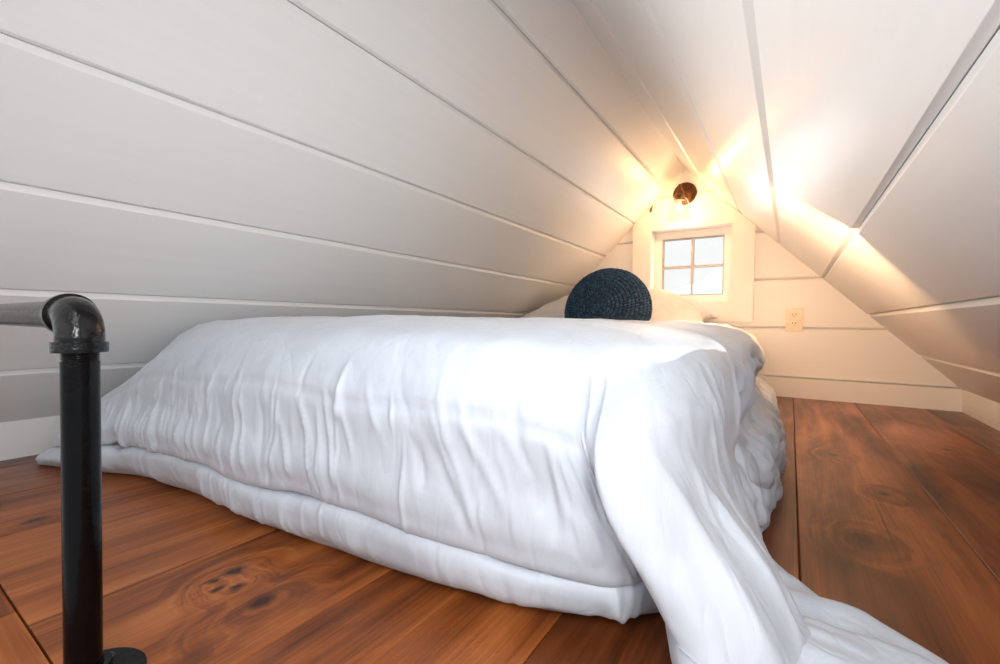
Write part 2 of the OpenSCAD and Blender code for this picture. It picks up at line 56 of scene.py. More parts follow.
# %% [markdown]
# ## Where things are
# A carpenter works from the floor's open edge and from the ridge, and so does this script.
# Those lines are read from the frame's own pieces, so that boards laid here still fit when a size of the
# loft changes. `at` turns a place on the floor plan into the frame's coordinates, and `on_slope` turns a
# distance down from the ridge and a distance behind the lining's face into the same coordinates.

# %% Lines to measure from
deck_low, deck_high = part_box("floor_deck")
gable_low, gable_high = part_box("gable_lining")
lining_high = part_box("right_lining")[1]
siding_low, siding_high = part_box("gable_siding")
OPEN_Y = deck_low.y
FLOOR_Z = deck_high.z
GABLE_Y = gable_low.y
BOARD_T = gable_high.y - gable_low.y
PITCH = math.atan2(lining_high.z - FLOOR_Z, lining_high.x)
HALF_W = lining_high.x - BOARD_T / math.sin(PITCH)
RIDGE_Z = FLOOR_Z + HALF_W * math.tan(PITCH)
SLOPE_L = HALF_W / math.cos(PITCH)


def at(x, y, z):
    """A place in metres right of the ridge line, in from the open edge and above the floor."""
    return Vector((x, OPEN_Y + y, FLOOR_Z + z))


def on_slope(side, down, off):
    """x and z of a point on the right (1) or left (-1) slope."""
    x = down * math.cos(PITCH) + off * math.sin(PITCH)
    z = RIDGE_Z - down * math.sin(PITCH) + off * math.cos(PITCH)
    return side * x, z


def slope_x(z, off=0.0):
    """How far from the ridge line a slope's plane is, at a height in the frame."""
    return HALF_W + off / math.sin(PITCH) - (z - FLOOR_Z) / math.tan(PITCH)


print("floor half width %.3f, ridge at %.3f, pitch %.1f degrees" % (HALF_W, RIDGE_Z, math.degrees(PITCH)))

# %% [markdown]
# ## Camera
# The view is from just inside the open edge, low over the floor, with a very wide lens.
# Three turns and a place describe it: yaw from the gable, a small pitch down and a slight roll.
# The camera's axes are written out as vectors, which keeps the roll exact.

# %% Camera
CAMERA_AT = (0.4759, 0.021, 0.3361)
LENS_MM = 16.0
SENSOR_MM = 36.0
YAW, PITCH_DOWN, ROLL = (math.radians(a) for a in (33.1445, 1.3323, 0.6568))


def aim(yaw, down, roll):
    """The camera's turn: its right, its up and its back as the columns of a matrix."""
    forward = Vector((-math.sin(yaw) * math.cos(down), math.cos(yaw) * math.cos(down), -math.sin(down)))
    right = Vector((math.cos(yaw), math.sin(yaw), 0.0))
    up = right.cross(forward)
    right_rolled = right * math.cos(roll) + up * math.sin(roll)
    up_rolled = up * math.cos(roll) - right * math.sin(roll)
    return Matrix((right_rolled, up_rolled, -forward)).transposed()


camera = bpy.data.objects.new("camera", bpy.data.cameras.new("camera"))
camera.data.lens = LENS_MM
camera.data.sensor_width = SENSOR_MM
camera.data.clip_start = 0.01
camera.matrix_world = Matrix.Translation(at(*CAMERA_AT)) @ aim(YAW, PITCH_DOWN, ROLL).to_4x4()
scene.collection.objects.link(camera)
scene.camera = camera
scene.view_settings.view_transform = "Standard"
print("camera at", [round(v, 3) for v in camera.matrix_world.translation])

# %% [markdown]
# ## Light
# A room is lit through its openings. One wide soft lamp stands before the open edge and shines in, a
# weaker one stands outside the window, and a large one shines down on the roof. The pale world fills the
# shadows and stands white behind the window.
#
# White slopes throw light at each other. Path tracing does that too, but a few panels do it with less
# grain: `cross_lamp` and `left_lamp` light one slope each, `near_lamp` the corner of the comforter that
# lies on the floor, and `head_lamp` passes on the wall lamp's warm light at the head of the bed. They are
# plain light with no picture of their own, so gloss doesn't mirror them. `spark_lamp` is small, and the
# gloss of the pipe does show it. All are weak enough that paint and cloth keep their own colour.

# %% World and lamps
DAYLIGHT = (0.95, 0.98, 1.0)
WARM = (1.0, 0.58, 0.29)


def lamp(name, kind, place, target, energy, color, **shape):
    light = bpy.data.lights.new(name, kind)
    light.energy = energy
    light.color = color
    for key, value in shape.items():
        setattr(light, key, value)
    holder = bpy.data.objects.new(name, light)
    holder.location = place
    holder.rotation_euler = (Vector(target) - Vector(place)).to_track_quat("-Z", "Y").to_euler()
    holder.visible_camera = False
    scene.collection.objects.link(holder)
    return holder


def panel(name, place, target, energy, color, size, spread=180.0, mirrored=True):
    """A flat lamp of size (width, height) whose light stays within the spread, in degrees."""
    holder = lamp(name, "AREA", place, target, energy, color, shape="RECTANGLE", size=size[0],
                  size_y=size[1], spread=math.radians(spread))
    holder.visible_glossy = mirrored
    return holder


def studio_world(level, tint):
    """An even pale light; where the camera sees it, straight or in glass and gloss, it is plain white."""
    world = bpy.data.worlds.new("studio")
    world.use_nodes = True
    tree = world.node_tree
    background = tree.nodes["Background"]
    path = tree.nodes.new("ShaderNodeLightPath")
    seen = path.outputs["Is Camera Ray"]
    for ray in ("Is Glossy Ray", "Is Transmission Ray"):
        either = tree.nodes.new("ShaderNodeMath")
        either.operation = "MAXIMUM"
        tree.links.new(seen, either.inputs[0])
        tree.links.new(path.outputs[ray], either.inputs[1])
        seen = either.outputs["Value"]
    color = tree.nodes.new("ShaderNodeMix")
    color.data_type = "RGBA"
    color.inputs[6].default_value = tuple(c * level for c in tint) + (1.0,)
    color.inputs[7].default_value = (1.0, 1.0, 1.0, 1.0)
    tree.links.new(seen, color.inputs[0])
    tree.links.new(color.outputs[2], background.inputs["Color"])
    return world


scene.world = studio_world(0.70, (0.95, 0.97, 1.0))
lamps = [
    panel("front_lamp", at(0.3, -3.2, 1.2), at(-0.1, 1.4, 0.5), 9.6, DAYLIGHT, (3.2, 1.8)),
    panel("near_lamp", at(0.62, 0.02, 0.44), at(0.50, 0.40, 0.02), 3.6, DAYLIGHT, (0.24, 0.18),
          mirrored=False),
    panel("spark_lamp", at(0.30, -0.05, 0.43), at(0.1, 1.0, 0.3), 1.3, (0.92, 0.96, 1.0), (0.10, 0.14)),
    panel("cross_lamp", at(0.0, 0.80, 0.42), at(0.80, 0.80, 0.86), 2.0, (1.0, 0.955, 0.91), (1.7, 0.25),
          spread=88.0, mirrored=False),
    panel("left_lamp", at(0.36, 0.28, 0.42), at(-0.60, 0.42, 0.60), 1.35, (0.97, 0.99, 1.0), (0.9, 0.25),
          spread=120.0, mirrored=False),
    panel("window_lamp", at(0.03, 2.57, 0.64), at(0.1, 0.5, 0.45), 0.9, (1.0, 0.98, 0.95), (0.28, 0.28)),
    panel("head_lamp", at(0.38, 1.30, 0.47), at(0.42, 2.6, 0.40), 4.9, WARM, (0.45, 0.2),
          spread=130.0, mirrored=False),
    panel("sky_lamp", (2.6, -2.2, 4.2), (0.0, 0.0, 0.6), 95.0, (1.0, 1.0, 1.0), (3.0, 3.0)),
]
print("lamps:", [holder.name for holder in lamps])

# %% [markdown]
# ## Building materials from nodes
# Every finish is made of a few shader nodes on one Principled shader, and the class `Shader` keeps that
# readable: it starts a material and adds linked nodes, `ramp` turns a grey value into colours, and `bump`
# presses a pattern into the surface. Patterns are measured in the object's own coordinates, in metres, so
# that a grain or a weave keeps its true size on every piece.

# %% Material helpers
class Shader:
    """A material that is built up one node at a time."""

    def __init__(self, name, **settings):
        self.material = bpy.data.materials.new(name)
        self.material.use_nodes = True
        self.tree = self.material.node_tree
        self.out = self.tree.nodes["Principled BSDF"]
        for key, value in settings.items():
            self.out.inputs[key.replace("_", " ")].default_value = value
        self.place = self.tree.nodes.new("ShaderNodeTexCoord").outputs["Object"]

    def add(self, kind, inputs=None, **properties):
        node = self.tree.nodes.new(kind)
        for key, value in properties.items():
            setattr(node, key, value)
        for key, value in (inputs or {}).items():
            if hasattr(value, "is_linked"):
                self.tree.links.new(value, node.inputs[key])
            else:
                node.inputs[key].default_value = value
        return node

    def stretch(self, scale, turn=(0.0, 0.0, 0.0), source=None):
        """The object's coordinates, scaled and turned."""
        node = self.add("ShaderNodeMapping", {"Vector": source or self.place})
        node.inputs["Scale"].default_value = scale
        node.inputs["Rotation"].default_value = turn
        return node.outputs["Vector"]

    def noise(self, vector, scale, detail=3.0, rough=0.55, warp=0.0):
        inputs = {"Vector": vector, "Scale": scale, "Detail": detail, "Roughness": rough, "Distortion": warp}
        return self.add("ShaderNodeTexNoise", inputs).outputs["Fac"]

    def math(self, operation, a, b=0.0, c=0.0):
        return self.add("ShaderNodeMath", {0: a, 1: b, 2: c}, operation=operation).outputs["Value"]

    def vector(self, operation, a, b):
        return self.add("ShaderNodeVectorMath", {0: a, 1: b}, operation=operation).outputs["Vector"]

    def join(self, **parts):
        """Makes a vector from single values."""
        return self.add("ShaderNodeCombineXYZ", parts).outputs["Vector"]

    def offset(self, value, share, base):
        """How far a value is from 0.5, times a share, on top of a base."""
        return self.math("MULTIPLY_ADD", self.math("SUBTRACT", value, 0.5), share, base)

    def span(self, value, low, high, to_low=0.0, to_high=1.0):
        """Maps the range from low to high onto another, and holds it there."""
        inputs = {"Value": value, "From Min": low, "From Max": high, "To Min": to_low, "To Max": to_high}
        return self.add("ShaderNodeMapRange", inputs).outputs["Result"]

    def mix(self, share, first, second, blend="MIX"):
        node = self.add("ShaderNodeMix", data_type="RGBA", blend_type=blend)
        for socket, value in ((0, share), (6, first), (7, second)):
            if hasattr(value, "is_linked"):
                self.tree.links.new(value, node.inputs[socket])
            else:
                node.inputs[socket].default_value = value if socket == 0 else (*value, 1.0)
        return node.outputs[2]

    def ramp(self, value, *stops):
        node = self.add("ShaderNodeValToRGB", {"Fac": value})
        bar = node.color_ramp
        while len(bar.elements) < len(stops):
            bar.elements.new(0.5)
        for element, (position, color) in zip(bar.elements, stops):
            element.position = position
            element.color = (*color, 1.0)
        return node.outputs["Color"]

    def bump(self, height, depth, strength=1.0):
        inputs = {"Height": height, "Distance": depth, "Strength": strength}
        if self.out.inputs["Normal"].is_linked:
            inputs["Normal"] = self.out.inputs["Normal"].links[0].from_socket
        node = self.add("ShaderNodeBump", inputs)
        self.tree.links.new(node.outputs["Normal"], self.out.inputs["Normal"])

    def set(self, socket, value):
        self.tree.links.new(value, self.out.inputs[socket])

    def board_number(self):
        """The random number that each board, plank or panel of a piece carries."""
        return self.add("ShaderNodeAttribute", attribute_name="board").outputs["Fac"]


print("material helper:", Shader.__name__)

# %% [markdown]
# ## Studio floor
# The loft stands on a pale grey floor. The floor lies a hair below the wall plates, so that the two
# faces never share a plane.

# %% Studio floor
FLOOR_HALF = 9.0
FLOOR_GAP = -0.0006


def floor_coat():
    """A pale even grey with the faintest cloud in it."""
    s = Shader("floor_coat", Roughness=0.75, Specular_IOR_Level=0.2)
    cloud = s.noise(s.place, 0.7, 3.0, 0.5)
    s.set("Base Color", s.ramp(cloud, (0.3, (0.56, 0.57, 0.58)), (0.7, (0.60, 0.61, 0.62))))
    return s.material


def studio_floor():
    bm = bmesh.new()
    signs = ((-1, -1), (1, -1), (1, 1), (-1, 1))
    bm.faces.new([bm.verts.new((x * FLOOR_HALF, y * FLOOR_HALF, FLOOR_GAP)) for x, y in signs])
    mesh = bpy.data.meshes.new("studio_floor")
    bm.to_mesh(mesh)
    bm.free()
    mesh.materials.append(floor_coat())
    floor = bpy.data.objects.new("studio_floor", mesh)
    scene.collection.objects.link(floor)
    return floor


print(studio_floor().name)

# %% [markdown]
# ## Paint
# The lining is painted with a semi-gloss brush paint. What tells paint from plastic is that it isn't quite
# even: brush marks run along the board, the film is a little wavy, and the gloss changes from place to
# place. The marks are noise stretched along one axis, so slopes and gable get a version each, and the
# right slope, which mirrors the wall lamp, has a shinier one.

# %% White paint
PAINT = (0.80, 0.802, 0.795)


def paint(name, along, color=PAINT, gloss=0.36, uneven=0.03, wave=0.0008):
    """uneven is how far the gloss varies, and wave how deep the film's waves are."""
    s = Shader(name, Specular_IOR_Level=0.5)
    brush = s.noise(s.stretch(along), 1.0, 4.0, 0.6)
    patch = s.noise(s.place, 5.0, 3.0, 0.5, 0.6)
    board = s.board_number()
    shade = s.offset(board, 0.10, s.math("MULTIPLY_ADD", brush, 0.16, 0.42))
    dark = tuple(c * 0.93 for c in color)
    light = tuple(min(1.0, c * 1.03) for c in color)
    s.set("Base Color", s.ramp(shade, (0.38, dark), (0.62, light)))
    s.set("Roughness", s.span(patch, 0.3, 0.7, gloss - uneven, gloss + uneven))
    s.bump(s.noise(s.place, 9.0, 2.0, 0.5, 0.4), wave, 0.5)
    s.bump(brush, 0.0004, 0.4)
    return s.material


ALONG_Y = (60.0, 1.6, 60.0)
ALONG_X = (1.6, 60.0, 90.0)
ANY_WAY = (12.0, 12.0, 12.0)
slope_paint = paint("slope_paint", ALONG_Y)
glossy_paint = paint("glossy_paint", ALONG_Y, gloss=0.34, uneven=0.04)
gable_paint = paint("gable_paint", ALONG_X)
trim_paint = paint("trim_paint", ANY_WAY, (0.83, 0.825, 0.805), 0.3)
# The window bars get the trim's white made grey: painted shade, because the bars stand backlit against the
# window.
shaded_bar_paint = paint("shaded_bar_paint", ANY_WAY, (0.46, 0.47, 0.48), 0.4)
print("paints:", [finish.name for finish in (slope_paint, glossy_paint, gable_paint, trim_paint, shaded_bar_paint)])

# %% [markdown]
# ## Wood
# Two woods are open to view. The floor is pine, stained reddish brown and varnished: its grain runs
# along each plank in long waves, the knots are dark eyes that the grain flows round, and every plank was
# cut from another tree, so each has its own tone and its own piece of the pattern. Dark streaks run
# where the stain soaked into an open grain. The framing is the same pine, sawn and left raw. Both come
# from one function with other colours.

# %% Pine, stained and raw
def pine(name, axis, tones, knot_tone, gloss, knots=(), varnish=0.0):
    """axis is the direction of the grain, 0 for x, 1 for y, 2 for z; knots are (x, y, radius)."""
    s = Shader(name, Coat_Weight=varnish, Coat_Roughness=0.2, Specular_IOR_Level=0.25)
    board = s.board_number()
    shift = s.join(X=s.math("MULTIPLY", board, 7.3), Y=s.math("MULTIPLY", board, 31.7),
                   Z=s.math("MULTIPLY", board, 13.1))
    moved = s.vector("ADD", s.place, shift)

    def along(across, lengthwise):
        scale = [across] * 3
        scale[axis] = lengthwise
        return s.stretch(scale, source=moved)

    # Pull draws the grain round a knot, core is the knot itself, and wobble makes its edge uneven
    pull, core = 0.0, 0.0
    wobble = s.add("ShaderNodeTexNoise", {"Vector": s.place, "Scale": 55.0, "Detail": 3.0}).outputs["Color"]
    wobble = s.vector("MULTIPLY", s.vector("SUBTRACT", wobble, (0.5, 0.5, 0.5)), (0.014, 0.014, 0.0))
    near = s.vector("ADD", s.place, wobble)
    for x, y, radius in knots:
        squeeze = s.stretch((1.0, 0.7, 0.0), source=near)
        eye = (x, (OPEN_Y + y) * 0.7, 0.0)
        gap = s.add("ShaderNodeVectorMath", {0: squeeze, 1: eye}, operation="DISTANCE").outputs["Value"]
        pull = s.math("ADD", pull, s.span(gap, 0.0, radius * 5.0, 1.0, 0.0))
        core = s.math("MAXIMUM", core, s.span(gap, radius * 0.35, radius * 1.25, 1.0, 0.0))
    stain = s.noise(along(5.0, 1.8), 1.0, 4.0, 0.6, 0.6)
    bend = s.noise(along(7.0, 0.8), 1.0, 2.0, 0.5)
    sway = s.join(X=s.math("MULTIPLY_ADD", bend, 7.0, s.math("MULTIPLY", pull, 3.0)),
                  Y=s.math("MULTIPLY", pull, 2.0))
    rings = s.vector("ADD", along(34.0, 0.9), sway)
    grain = s.noise(rings, 1.0, 3.0, 0.55, 0.3)
    fibre = s.noise(along(300.0, 6.0), 1.0, 2.0, 0.6)
    split = s.span(s.noise(along(95.0, 2.2), 1.0, 3.0, 0.6), 0.63, 0.74, 0.0, 0.75)
    tone = 0.49
    for value, share in ((fibre, 0.22), (grain, 0.60), (stain, 0.95), (board, 0.16)):
        tone = s.offset(value, share, tone)
    wood = s.ramp(tone, (0.24, tones[0]), (0.44, tones[1]), (0.58, tones[2]), (0.78, tones[3]))
    s.set("Base Color", s.mix(s.math("MAXIMUM", core, split), wood, knot_tone))
    s.set("Roughness", s.span(stain, 0.3, 0.75, gloss + 0.10, gloss - 0.05))
    s.bump(s.math("MULTIPLY_ADD", core, -0.8, s.math("MULTIPLY_ADD", grain, 0.6, fibre)), 0.0007, 0.5)
    return s.material


STAIN = ((0.050, 0.012, 0.003), (0.165, 0.042, 0.009), (0.30, 0.082, 0.017), (0.50, 0.170, 0.045))
STAIN_KNOT = (0.040, 0.012, 0.006)
RAW = ((0.40, 0.25, 0.13), (0.52, 0.36, 0.20), (0.60, 0.44, 0.26), (0.68, 0.52, 0.33))
RAW_KNOT = (0.22, 0.11, 0.05)
# A knot cluster lies before the bed, and single knots in the aisle
KNOTS = ((-0.135, 0.293, 0.006), (-0.137, 0.320, 0.012), (-0.098, 0.303, 0.008), (-0.112, 0.286, 0.007),
         (-0.044, 0.305, 0.014), (-0.560, 0.210, 0.012), (0.576, 1.455, 0.012), (0.579, 0.912, 0.016),
         (0.640, 1.180, 0.010), (0.850, 0.900, 0.014), (0.840, 1.700, 0.013), (-1.000, 1.400, 0.012))
plank_wood = pine("plank_wood", 1, STAIN, STAIN_KNOT, 0.33, KNOTS, 0.2)
beam_wood = pine("beam_wood", 0, STAIN, STAIN_KNOT, 0.42, varnish=0.08)
raw_along = pine("raw_timber_along", 1, RAW, RAW_KNOT, 0.7)
raw_across = pine("raw_timber_across", 0, RAW, RAW_KNOT, 0.7)
print("woods:", plank_wood.name, beam_wood.name, raw_along.name, raw_across.name)

# %% [markdown]
# ## Dressing the carried pieces
# Most solids of the frame keep their shape and only need a finish. Roof metal, iron, bronze, glass and
# the outlet's plastic come first, each with a little cloud or grain so that no surface is dead even.

# %% Metal, glass and plastic
def roof_coat():
    s = Shader("roof_coat", Metallic=0.55, Specular_IOR_Level=0.5)
    cloud = s.noise(s.place, 3.0, 4.0, 0.6)
    streak = s.noise(s.stretch((2.0, 40.0, 2.0)), 1.0, 3.0, 0.5)
    s.set("Base Color", s.ramp(cloud, (0.35, (0.27, 0.29, 0.30)), (0.65, (0.33, 0.35, 0.36))))
    s.set("Roughness", s.span(streak, 0.3, 0.7, 0.34, 0.48))
    s.bump(cloud, 0.003, 0.25)
    return s.material


def black_pipe(name, shine, rough):
    """Iron under a thick gloss black. Drawn pipe is smooth; cast fittings are lumpy and shine more."""
    s = Shader(name, Specular_IOR_Level=shine, Coat_Weight=shine / 2, Coat_Roughness=0.12)
    grains = s.noise(s.place, 420.0, 2.0, 0.5)
    lumps = s.noise(s.place, 120.0, 3.0, 0.55)
    s.set("Base Color", s.ramp(lumps, (0.3, (0.001, 0.001, 0.0012)), (0.7, (0.002, 0.002, 0.0024))))
    s.set("Roughness", s.span(grains, 0.3, 0.7, 0.12, 0.22))
    s.bump(lumps, rough, 0.7)
    s.bump(grains, 0.0002, 0.4)
    return s.material


def oiled_bronze():
    s = Shader("oiled_bronze", Metallic=0.85)
    cloud = s.noise(s.place, 45.0, 4.0, 0.6)
    s.set("Base Color", s.ramp(cloud, (0.3, (0.07, 0.03, 0.016)), (0.7, (0.19, 0.085, 0.04))))
    s.set("Roughness", s.span(cloud, 0.3, 0.7, 0.28, 0.46))
    return s.material


def clear_glass(name, roughness=0.0):
    s = Shader(name, Transmission_Weight=1.0, IOR=1.45, Roughness=roughness)
    ripple = s.noise(s.place, 14.0, 2.0, 0.5)
    s.set("Base Color", s.ramp(ripple, (0.3, (0.965, 0.985, 0.985)), (0.7, (0.99, 1.0, 1.0))))
    s.bump(ripple, 0.0004, 0.2)
    return s.material


def cream_plastic():
    s = Shader("cream_plastic", Specular_IOR_Level=0.5)
    cloud = s.noise(s.place, 60.0, 3.0, 0.5)
    s.set("Base Color", s.ramp(cloud, (0.3, (0.72, 0.62, 0.44)), (0.7, (0.78, 0.68, 0.50))))
    s.set("Roughness", s.span(cloud, 0.3, 0.7, 0.2, 0.3))
    s.bump(cloud, 0.0003, 0.3)
    return s.material


roof_metal = roof_coat()
iron = black_pipe("black_pipe", 0.15, 0.0006)
cast_iron = black_pipe("cast_fittings", 0.3, 0.0014)
bronze = oiled_bronze()
pane_glass = clear_glass("pane_glass")
shade_glass = clear_glass("shade_glass")
plastic = cream_plastic()
print("finishes:", roof_metal.name, iron.name, cast_iron.name, bronze.name, shade_glass.name, plastic.name)

# %% [markdown]
# One table from finish to nodes then dresses the solids, and shows at a glance that none was forgotten.

# %% Which node has which finish
FINISHES = (
    (raw_along, ("wall_plates", "rim_joists", "left_sheathing", "right_sheathing", "ridge_board")),
    (raw_across, ("back_wall_plate", "left_rafters", "right_rafters", "gable_frame")),
    (beam_wood, ("floor_joists", "front_beam")),
    (roof_metal, ("left_roof_sheet", "right_roof_sheet", "left_roof_seams", "right_roof_seams",
                  "ridge_cap")),
    (trim_paint, ("side_siding", "fascias", "left_rakes", "right_rakes", "window_jamb", "window_sash",
                  "side_casings", "cross_casings", "outer_casing", "gable_baseboard", "side_baseboards")),
    (pane_glass, ("window_glass",)),
    (bronze, ("lamp_plate", "lamp_arm")),
    (plastic, ("outlet",)),
    (iron, ("rail_posts", "rail_pipe", "rail_flanges")),
    (cast_iron, ("rail_elbows",)),
)
for finish, names in FINISHES:
    for name in names:
        nodes[name].data.materials.clear()
        nodes[name].data.materials.append(finish)
print("finished nodes:", sum(len(names) for _, names in FINISHES))

# %% [markdown]
# ## Boards
# A lining is a row of boards with a V-shaped joint between each two: both long edges are planed off at
# 45 degrees. One side of the V catches light and the other is in shade, which draws the fine double line.
# A picture of lines would lose that, so every board is a solid of its own, drawn as a cross section and
# pushed along its length. `Boards` collects many of them into one piece and gives each its number.

# %% A collector for boards
V_EDGE = 0.0085
JOINT = 0.0012
rng = np.random.default_rng(7)


class Boards:
    """Collects prisms into one mesh, and keeps a random number for each of them."""

    def __init__(self):
        self.bm = bmesh.new()
        self.number = self.bm.faces.layers.float.new("board")

    def prism(self, first, last, number=None):
        """first and last are the two end outlines, as lists of points that match one by one."""
        ends = [[self.bm.verts.new(p) for p in outline] for outline in (first, last)]
        n = len(first)
        faces = [self.bm.faces.new(ends[0][::-1]), self.bm.faces.new(ends[1])]
        for i in range(n):
            j = (i + 1) % n
            faces.append(self.bm.faces.new((ends[0][i], ends[0][j], ends[1][j], ends[1][i])))
        value = float(rng.random()) if number is None else number
        for face in faces:
            face[self.number] = value
        return ends

    def piece(self, name, finish, slot, *stands_for, edge=0.0):
        bmesh.ops.recalc_face_normals(self.bm, faces=self.bm.faces)
        return make_piece(name, self.bm, finish, slot, *stands_for, edge=edge)


def make_piece(name, bm, finish, slot, *stands_for, edge=0.0, smooth=False):
    """Turns a bmesh into a named piece that rides on the loft."""
    mesh = bpy.data.meshes.new(name)
    bm.to_mesh(mesh)
    bm.free()
    mesh.materials.append(finish)
    if smooth:
        mesh.shade_smooth()
    piece = bpy.data.objects.new(name, mesh)
    scene.collection.objects.link(piece)
    if edge:
        soften = piece.modifiers.new("soft_edge", "BEVEL")
        soften.width = edge
        soften.segments = 2
        soften.limit_method = "ANGLE"
    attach(piece, "root")
    if stands_for:
        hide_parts(*stands_for)
    return piece


def taken_over(mesh):
    """A bmesh with what the mesh holds; the mesh itself is cleared away."""
    bm = bmesh.new()
    bm.from_mesh(mesh)
    bpy.data.meshes.remove(mesh)
    return bm


print("joint between boards: a V %.1f mm deep" % (V_EDGE * 1000))

# %% [markdown]
# The boards of a slope are counted down from the ridge. The first and the last are cut to fit: the first
# is mitred against the other slope, and the last reaches down behind the floor.

# %% Boards of the two slopes
FIRST_JOINT = 0.1298
BOARD_PITCH = 0.2358
LEAST_STRIP = 0.03
CORNER_EASE = 0.0006


def slope_boards(side):
    boards = Boards()
    gap = JOINT / 2
    joints = [FIRST_JOINT + BOARD_PITCH * k for k in range(8)]
    joints = [d for d in joints if d < SLOPE_L - LEAST_STRIP]
    tops = [None] + joints
    lows = joints + [None]
    for top, low in zip(tops, lows):
        if top is None:
            outline = [(0.0, 0.0), (-BOARD_T * math.tan(PITCH), BOARD_T)]
        else:
            outline = [(top + gap + V_EDGE, 0.0), (top + gap, V_EDGE), (top + gap, BOARD_T)]
        if low is None:
            outline += [(SLOPE_L + BOARD_T / math.tan(PITCH), BOARD_T), (SLOPE_L, 0.0)]
        else:
            outline += [(low - gap, BOARD_T), (low - gap, V_EDGE), (low - gap - V_EDGE, 0.0)]
        section = [on_slope(side, d, o) for d, o in outline]
        boards.prism([(x, OPEN_Y, z) for x, z in section], [(x, GABLE_Y, z) for x, z in section])
    word = "right" if side > 0 else "left"
    finish = glossy_paint if side > 0 else slope_paint
    return boards.piece(word + "_lining_boards", finish, "white_paint", word + "_lining", edge=CORNER_EASE)


for side in (-1, 1):
    print(slope_boards(side).name)

# %% [markdown]
# The gable's boards lie level, from slope to slope, and the window interrupts some of them. Each row is
# cut into the stretches that are left beside, below and above the opening. Since the ends follow the
# slope, every point of the section finds its own end.

# %% Boards of the gable wall, inside
base_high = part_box("gable_baseboard")[1]
jamb_low, jamb_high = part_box("window_jamb")
GABLE_PITCH = 0.2319


def level_row(boards, section, left_end, right_end):
    """section is a list of (y, z); the ends are functions of the height z."""
    number = float(rng.random())
    ends = [[(end(z), y, z) for y, z in section] for end in (left_end, right_end)]
    boards.prism(*ends, number)


def row_stretches(z0, z1, edge_x):
    """The parts of a row between z0 and z1 that the window leaves: (z0, z1, left end, right end)."""
    hole_x0, hole_x1, hole_z0, hole_z1 = jamb_low.x, jamb_high.x, jamb_low.z, jamb_high.z

    def left_edge(z):
        return -edge_x(z)

    if z1 <= hole_z0 or z0 >= hole_z1:
        return [(z0, z1, left_edge, edge_x)]
    parts = [(z0, z1, lambda z: min(hole_x0, left_edge(z)), lambda z: hole_x0),
             (z0, z1, lambda z: hole_x1, lambda z: max(hole_x1, edge_x(z)))]
    over = (lambda z: max(hole_x0, left_edge(z)), lambda z: min(hole_x1, edge_x(z)))
    if z0 < hole_z0:
        parts.append((z0, hole_z0, *over))
    if z1 > hole_z1:
        parts.append((hole_z1, z1, *over))
    return parts


def gable_boards():
    boards = Boards()
    face, back = gable_low.y, gable_high.y
    start = base_high.z
    joints = [FLOOR_Z, start] + [start + GABLE_PITCH * k for k in range(1, 8)]
    top = gable_high.z - 0.002
    joints = [z for z in joints if z < top - LEAST_STRIP] + [top]

    def slope_edge(z):
        return max(0.0, slope_x(z, BOARD_T))

    for z0, z1 in zip(joints, joints[1:]):
        for low, high, left_end, right_end in row_stretches(z0, z1, slope_edge):
            v_low = V_EDGE if low == z0 and z0 > FLOOR_Z else 0.0
            v_high = V_EDGE if high == z1 and z1 < top else 0.0
            gap_low = JOINT / 2 if v_low else 0.0
            gap_high = JOINT / 2 if v_high else 0.0
            section = [(face, low + v_low), (face, high - v_high)]
            if v_high:
                section.append((face + V_EDGE, high - gap_high))
            section += [(back, high - gap_high), (back, low + gap_low)]
            if v_low:
                section.append((face + V_EDGE, low + gap_low))
            level_row(boards, section, left_end, right_end)
    return boards.piece("gable_lining_boards", gable_paint, "white_paint", "gable_lining", edge=CORNER_EASE)


print(gable_boards().name)

# %% [markdown]
# Outside, the gable is clad with lapped boards. Each is thicker at its lower edge and stands on the one
# below, which throws the shadow line that makes siding readable from afar.

# %% Siding of the gable wall, outside
LAP_PITCH = 0.142
LAP_STEP = 0.008
plate_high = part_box("wall_plates")[1]
TIMBER_D = plate_high.x - HALF_W
RAFTER_OUT = BOARD_T + TIMBER_D


def roof_edge(z):
    """Where the siding ends: under the roof boarding, or at the wall's corner."""
    return max(0.0, min(siding_high.x, slope_x(z, RAFTER_OUT)))


def gable_siding():
    boards = Boards()
    inner, outer = siding_low.y, siding_high.y
    top = siding_high.z - 0.004
    levels = [siding_low.z]
    while levels[-1] + LAP_PITCH < top:
        levels.append(levels[-1] + LAP_PITCH)
    levels.append(top)
    corner_z = FLOOR_Z + (HALF_W + RAFTER_OUT / math.sin(PITCH) - siding_high.x) * math.tan(PITCH)
    for z0, z1 in zip(levels, levels[1:]):
        cuts = [z0] + ([corner_z] if z0 < corner_z < z1 else []) + [z1]

        def face_y(z, foot=z0):
            return outer - LAP_STEP * (z - foot) / LAP_PITCH

        for a, b in zip(cuts, cuts[1:]):
            for low, high, left_end, right_end in row_stretches(a, b, roof_edge):
                section = [(inner, low), (face_y(low), low), (face_y(high), high), (inner, high)]
                level_row(boards, section, left_end, right_end)
    return boards.piece("gable_siding_boards", gable_paint, "white_paint", "gable_siding")


print(gable_siding().name)

# %% [markdown]
# ## Floor
# The planks run in from the edge board, each with its edges eased so that a joint shows as a thin dark
# line. The seams are where they lie in the real floor, so the planks differ in width. The board along
# the open edge is in two lengths and has a round nose.

# %% Planks
SEAMS = (-0.98, -0.752, -0.5235, -0.206, 0.031, 0.2625, 0.494, 0.715, 0.945)
EASE = 0.0016
edge_low, edge_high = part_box("edge_board")
EDGE_W = 0.140
EDGE_GAP = 0.0008
BUTT_X = -0.254
BUTT_GAP = 0.0006


def plank_section(x0, x1, low, high):
    gap = 0.0005
    return [(x0 + gap, low), (x1 - gap, low), (x1 - gap, high - EASE), (x1 - gap - EASE, high),
            (x0 + gap + EASE, high), (x0 + gap, high - EASE)]


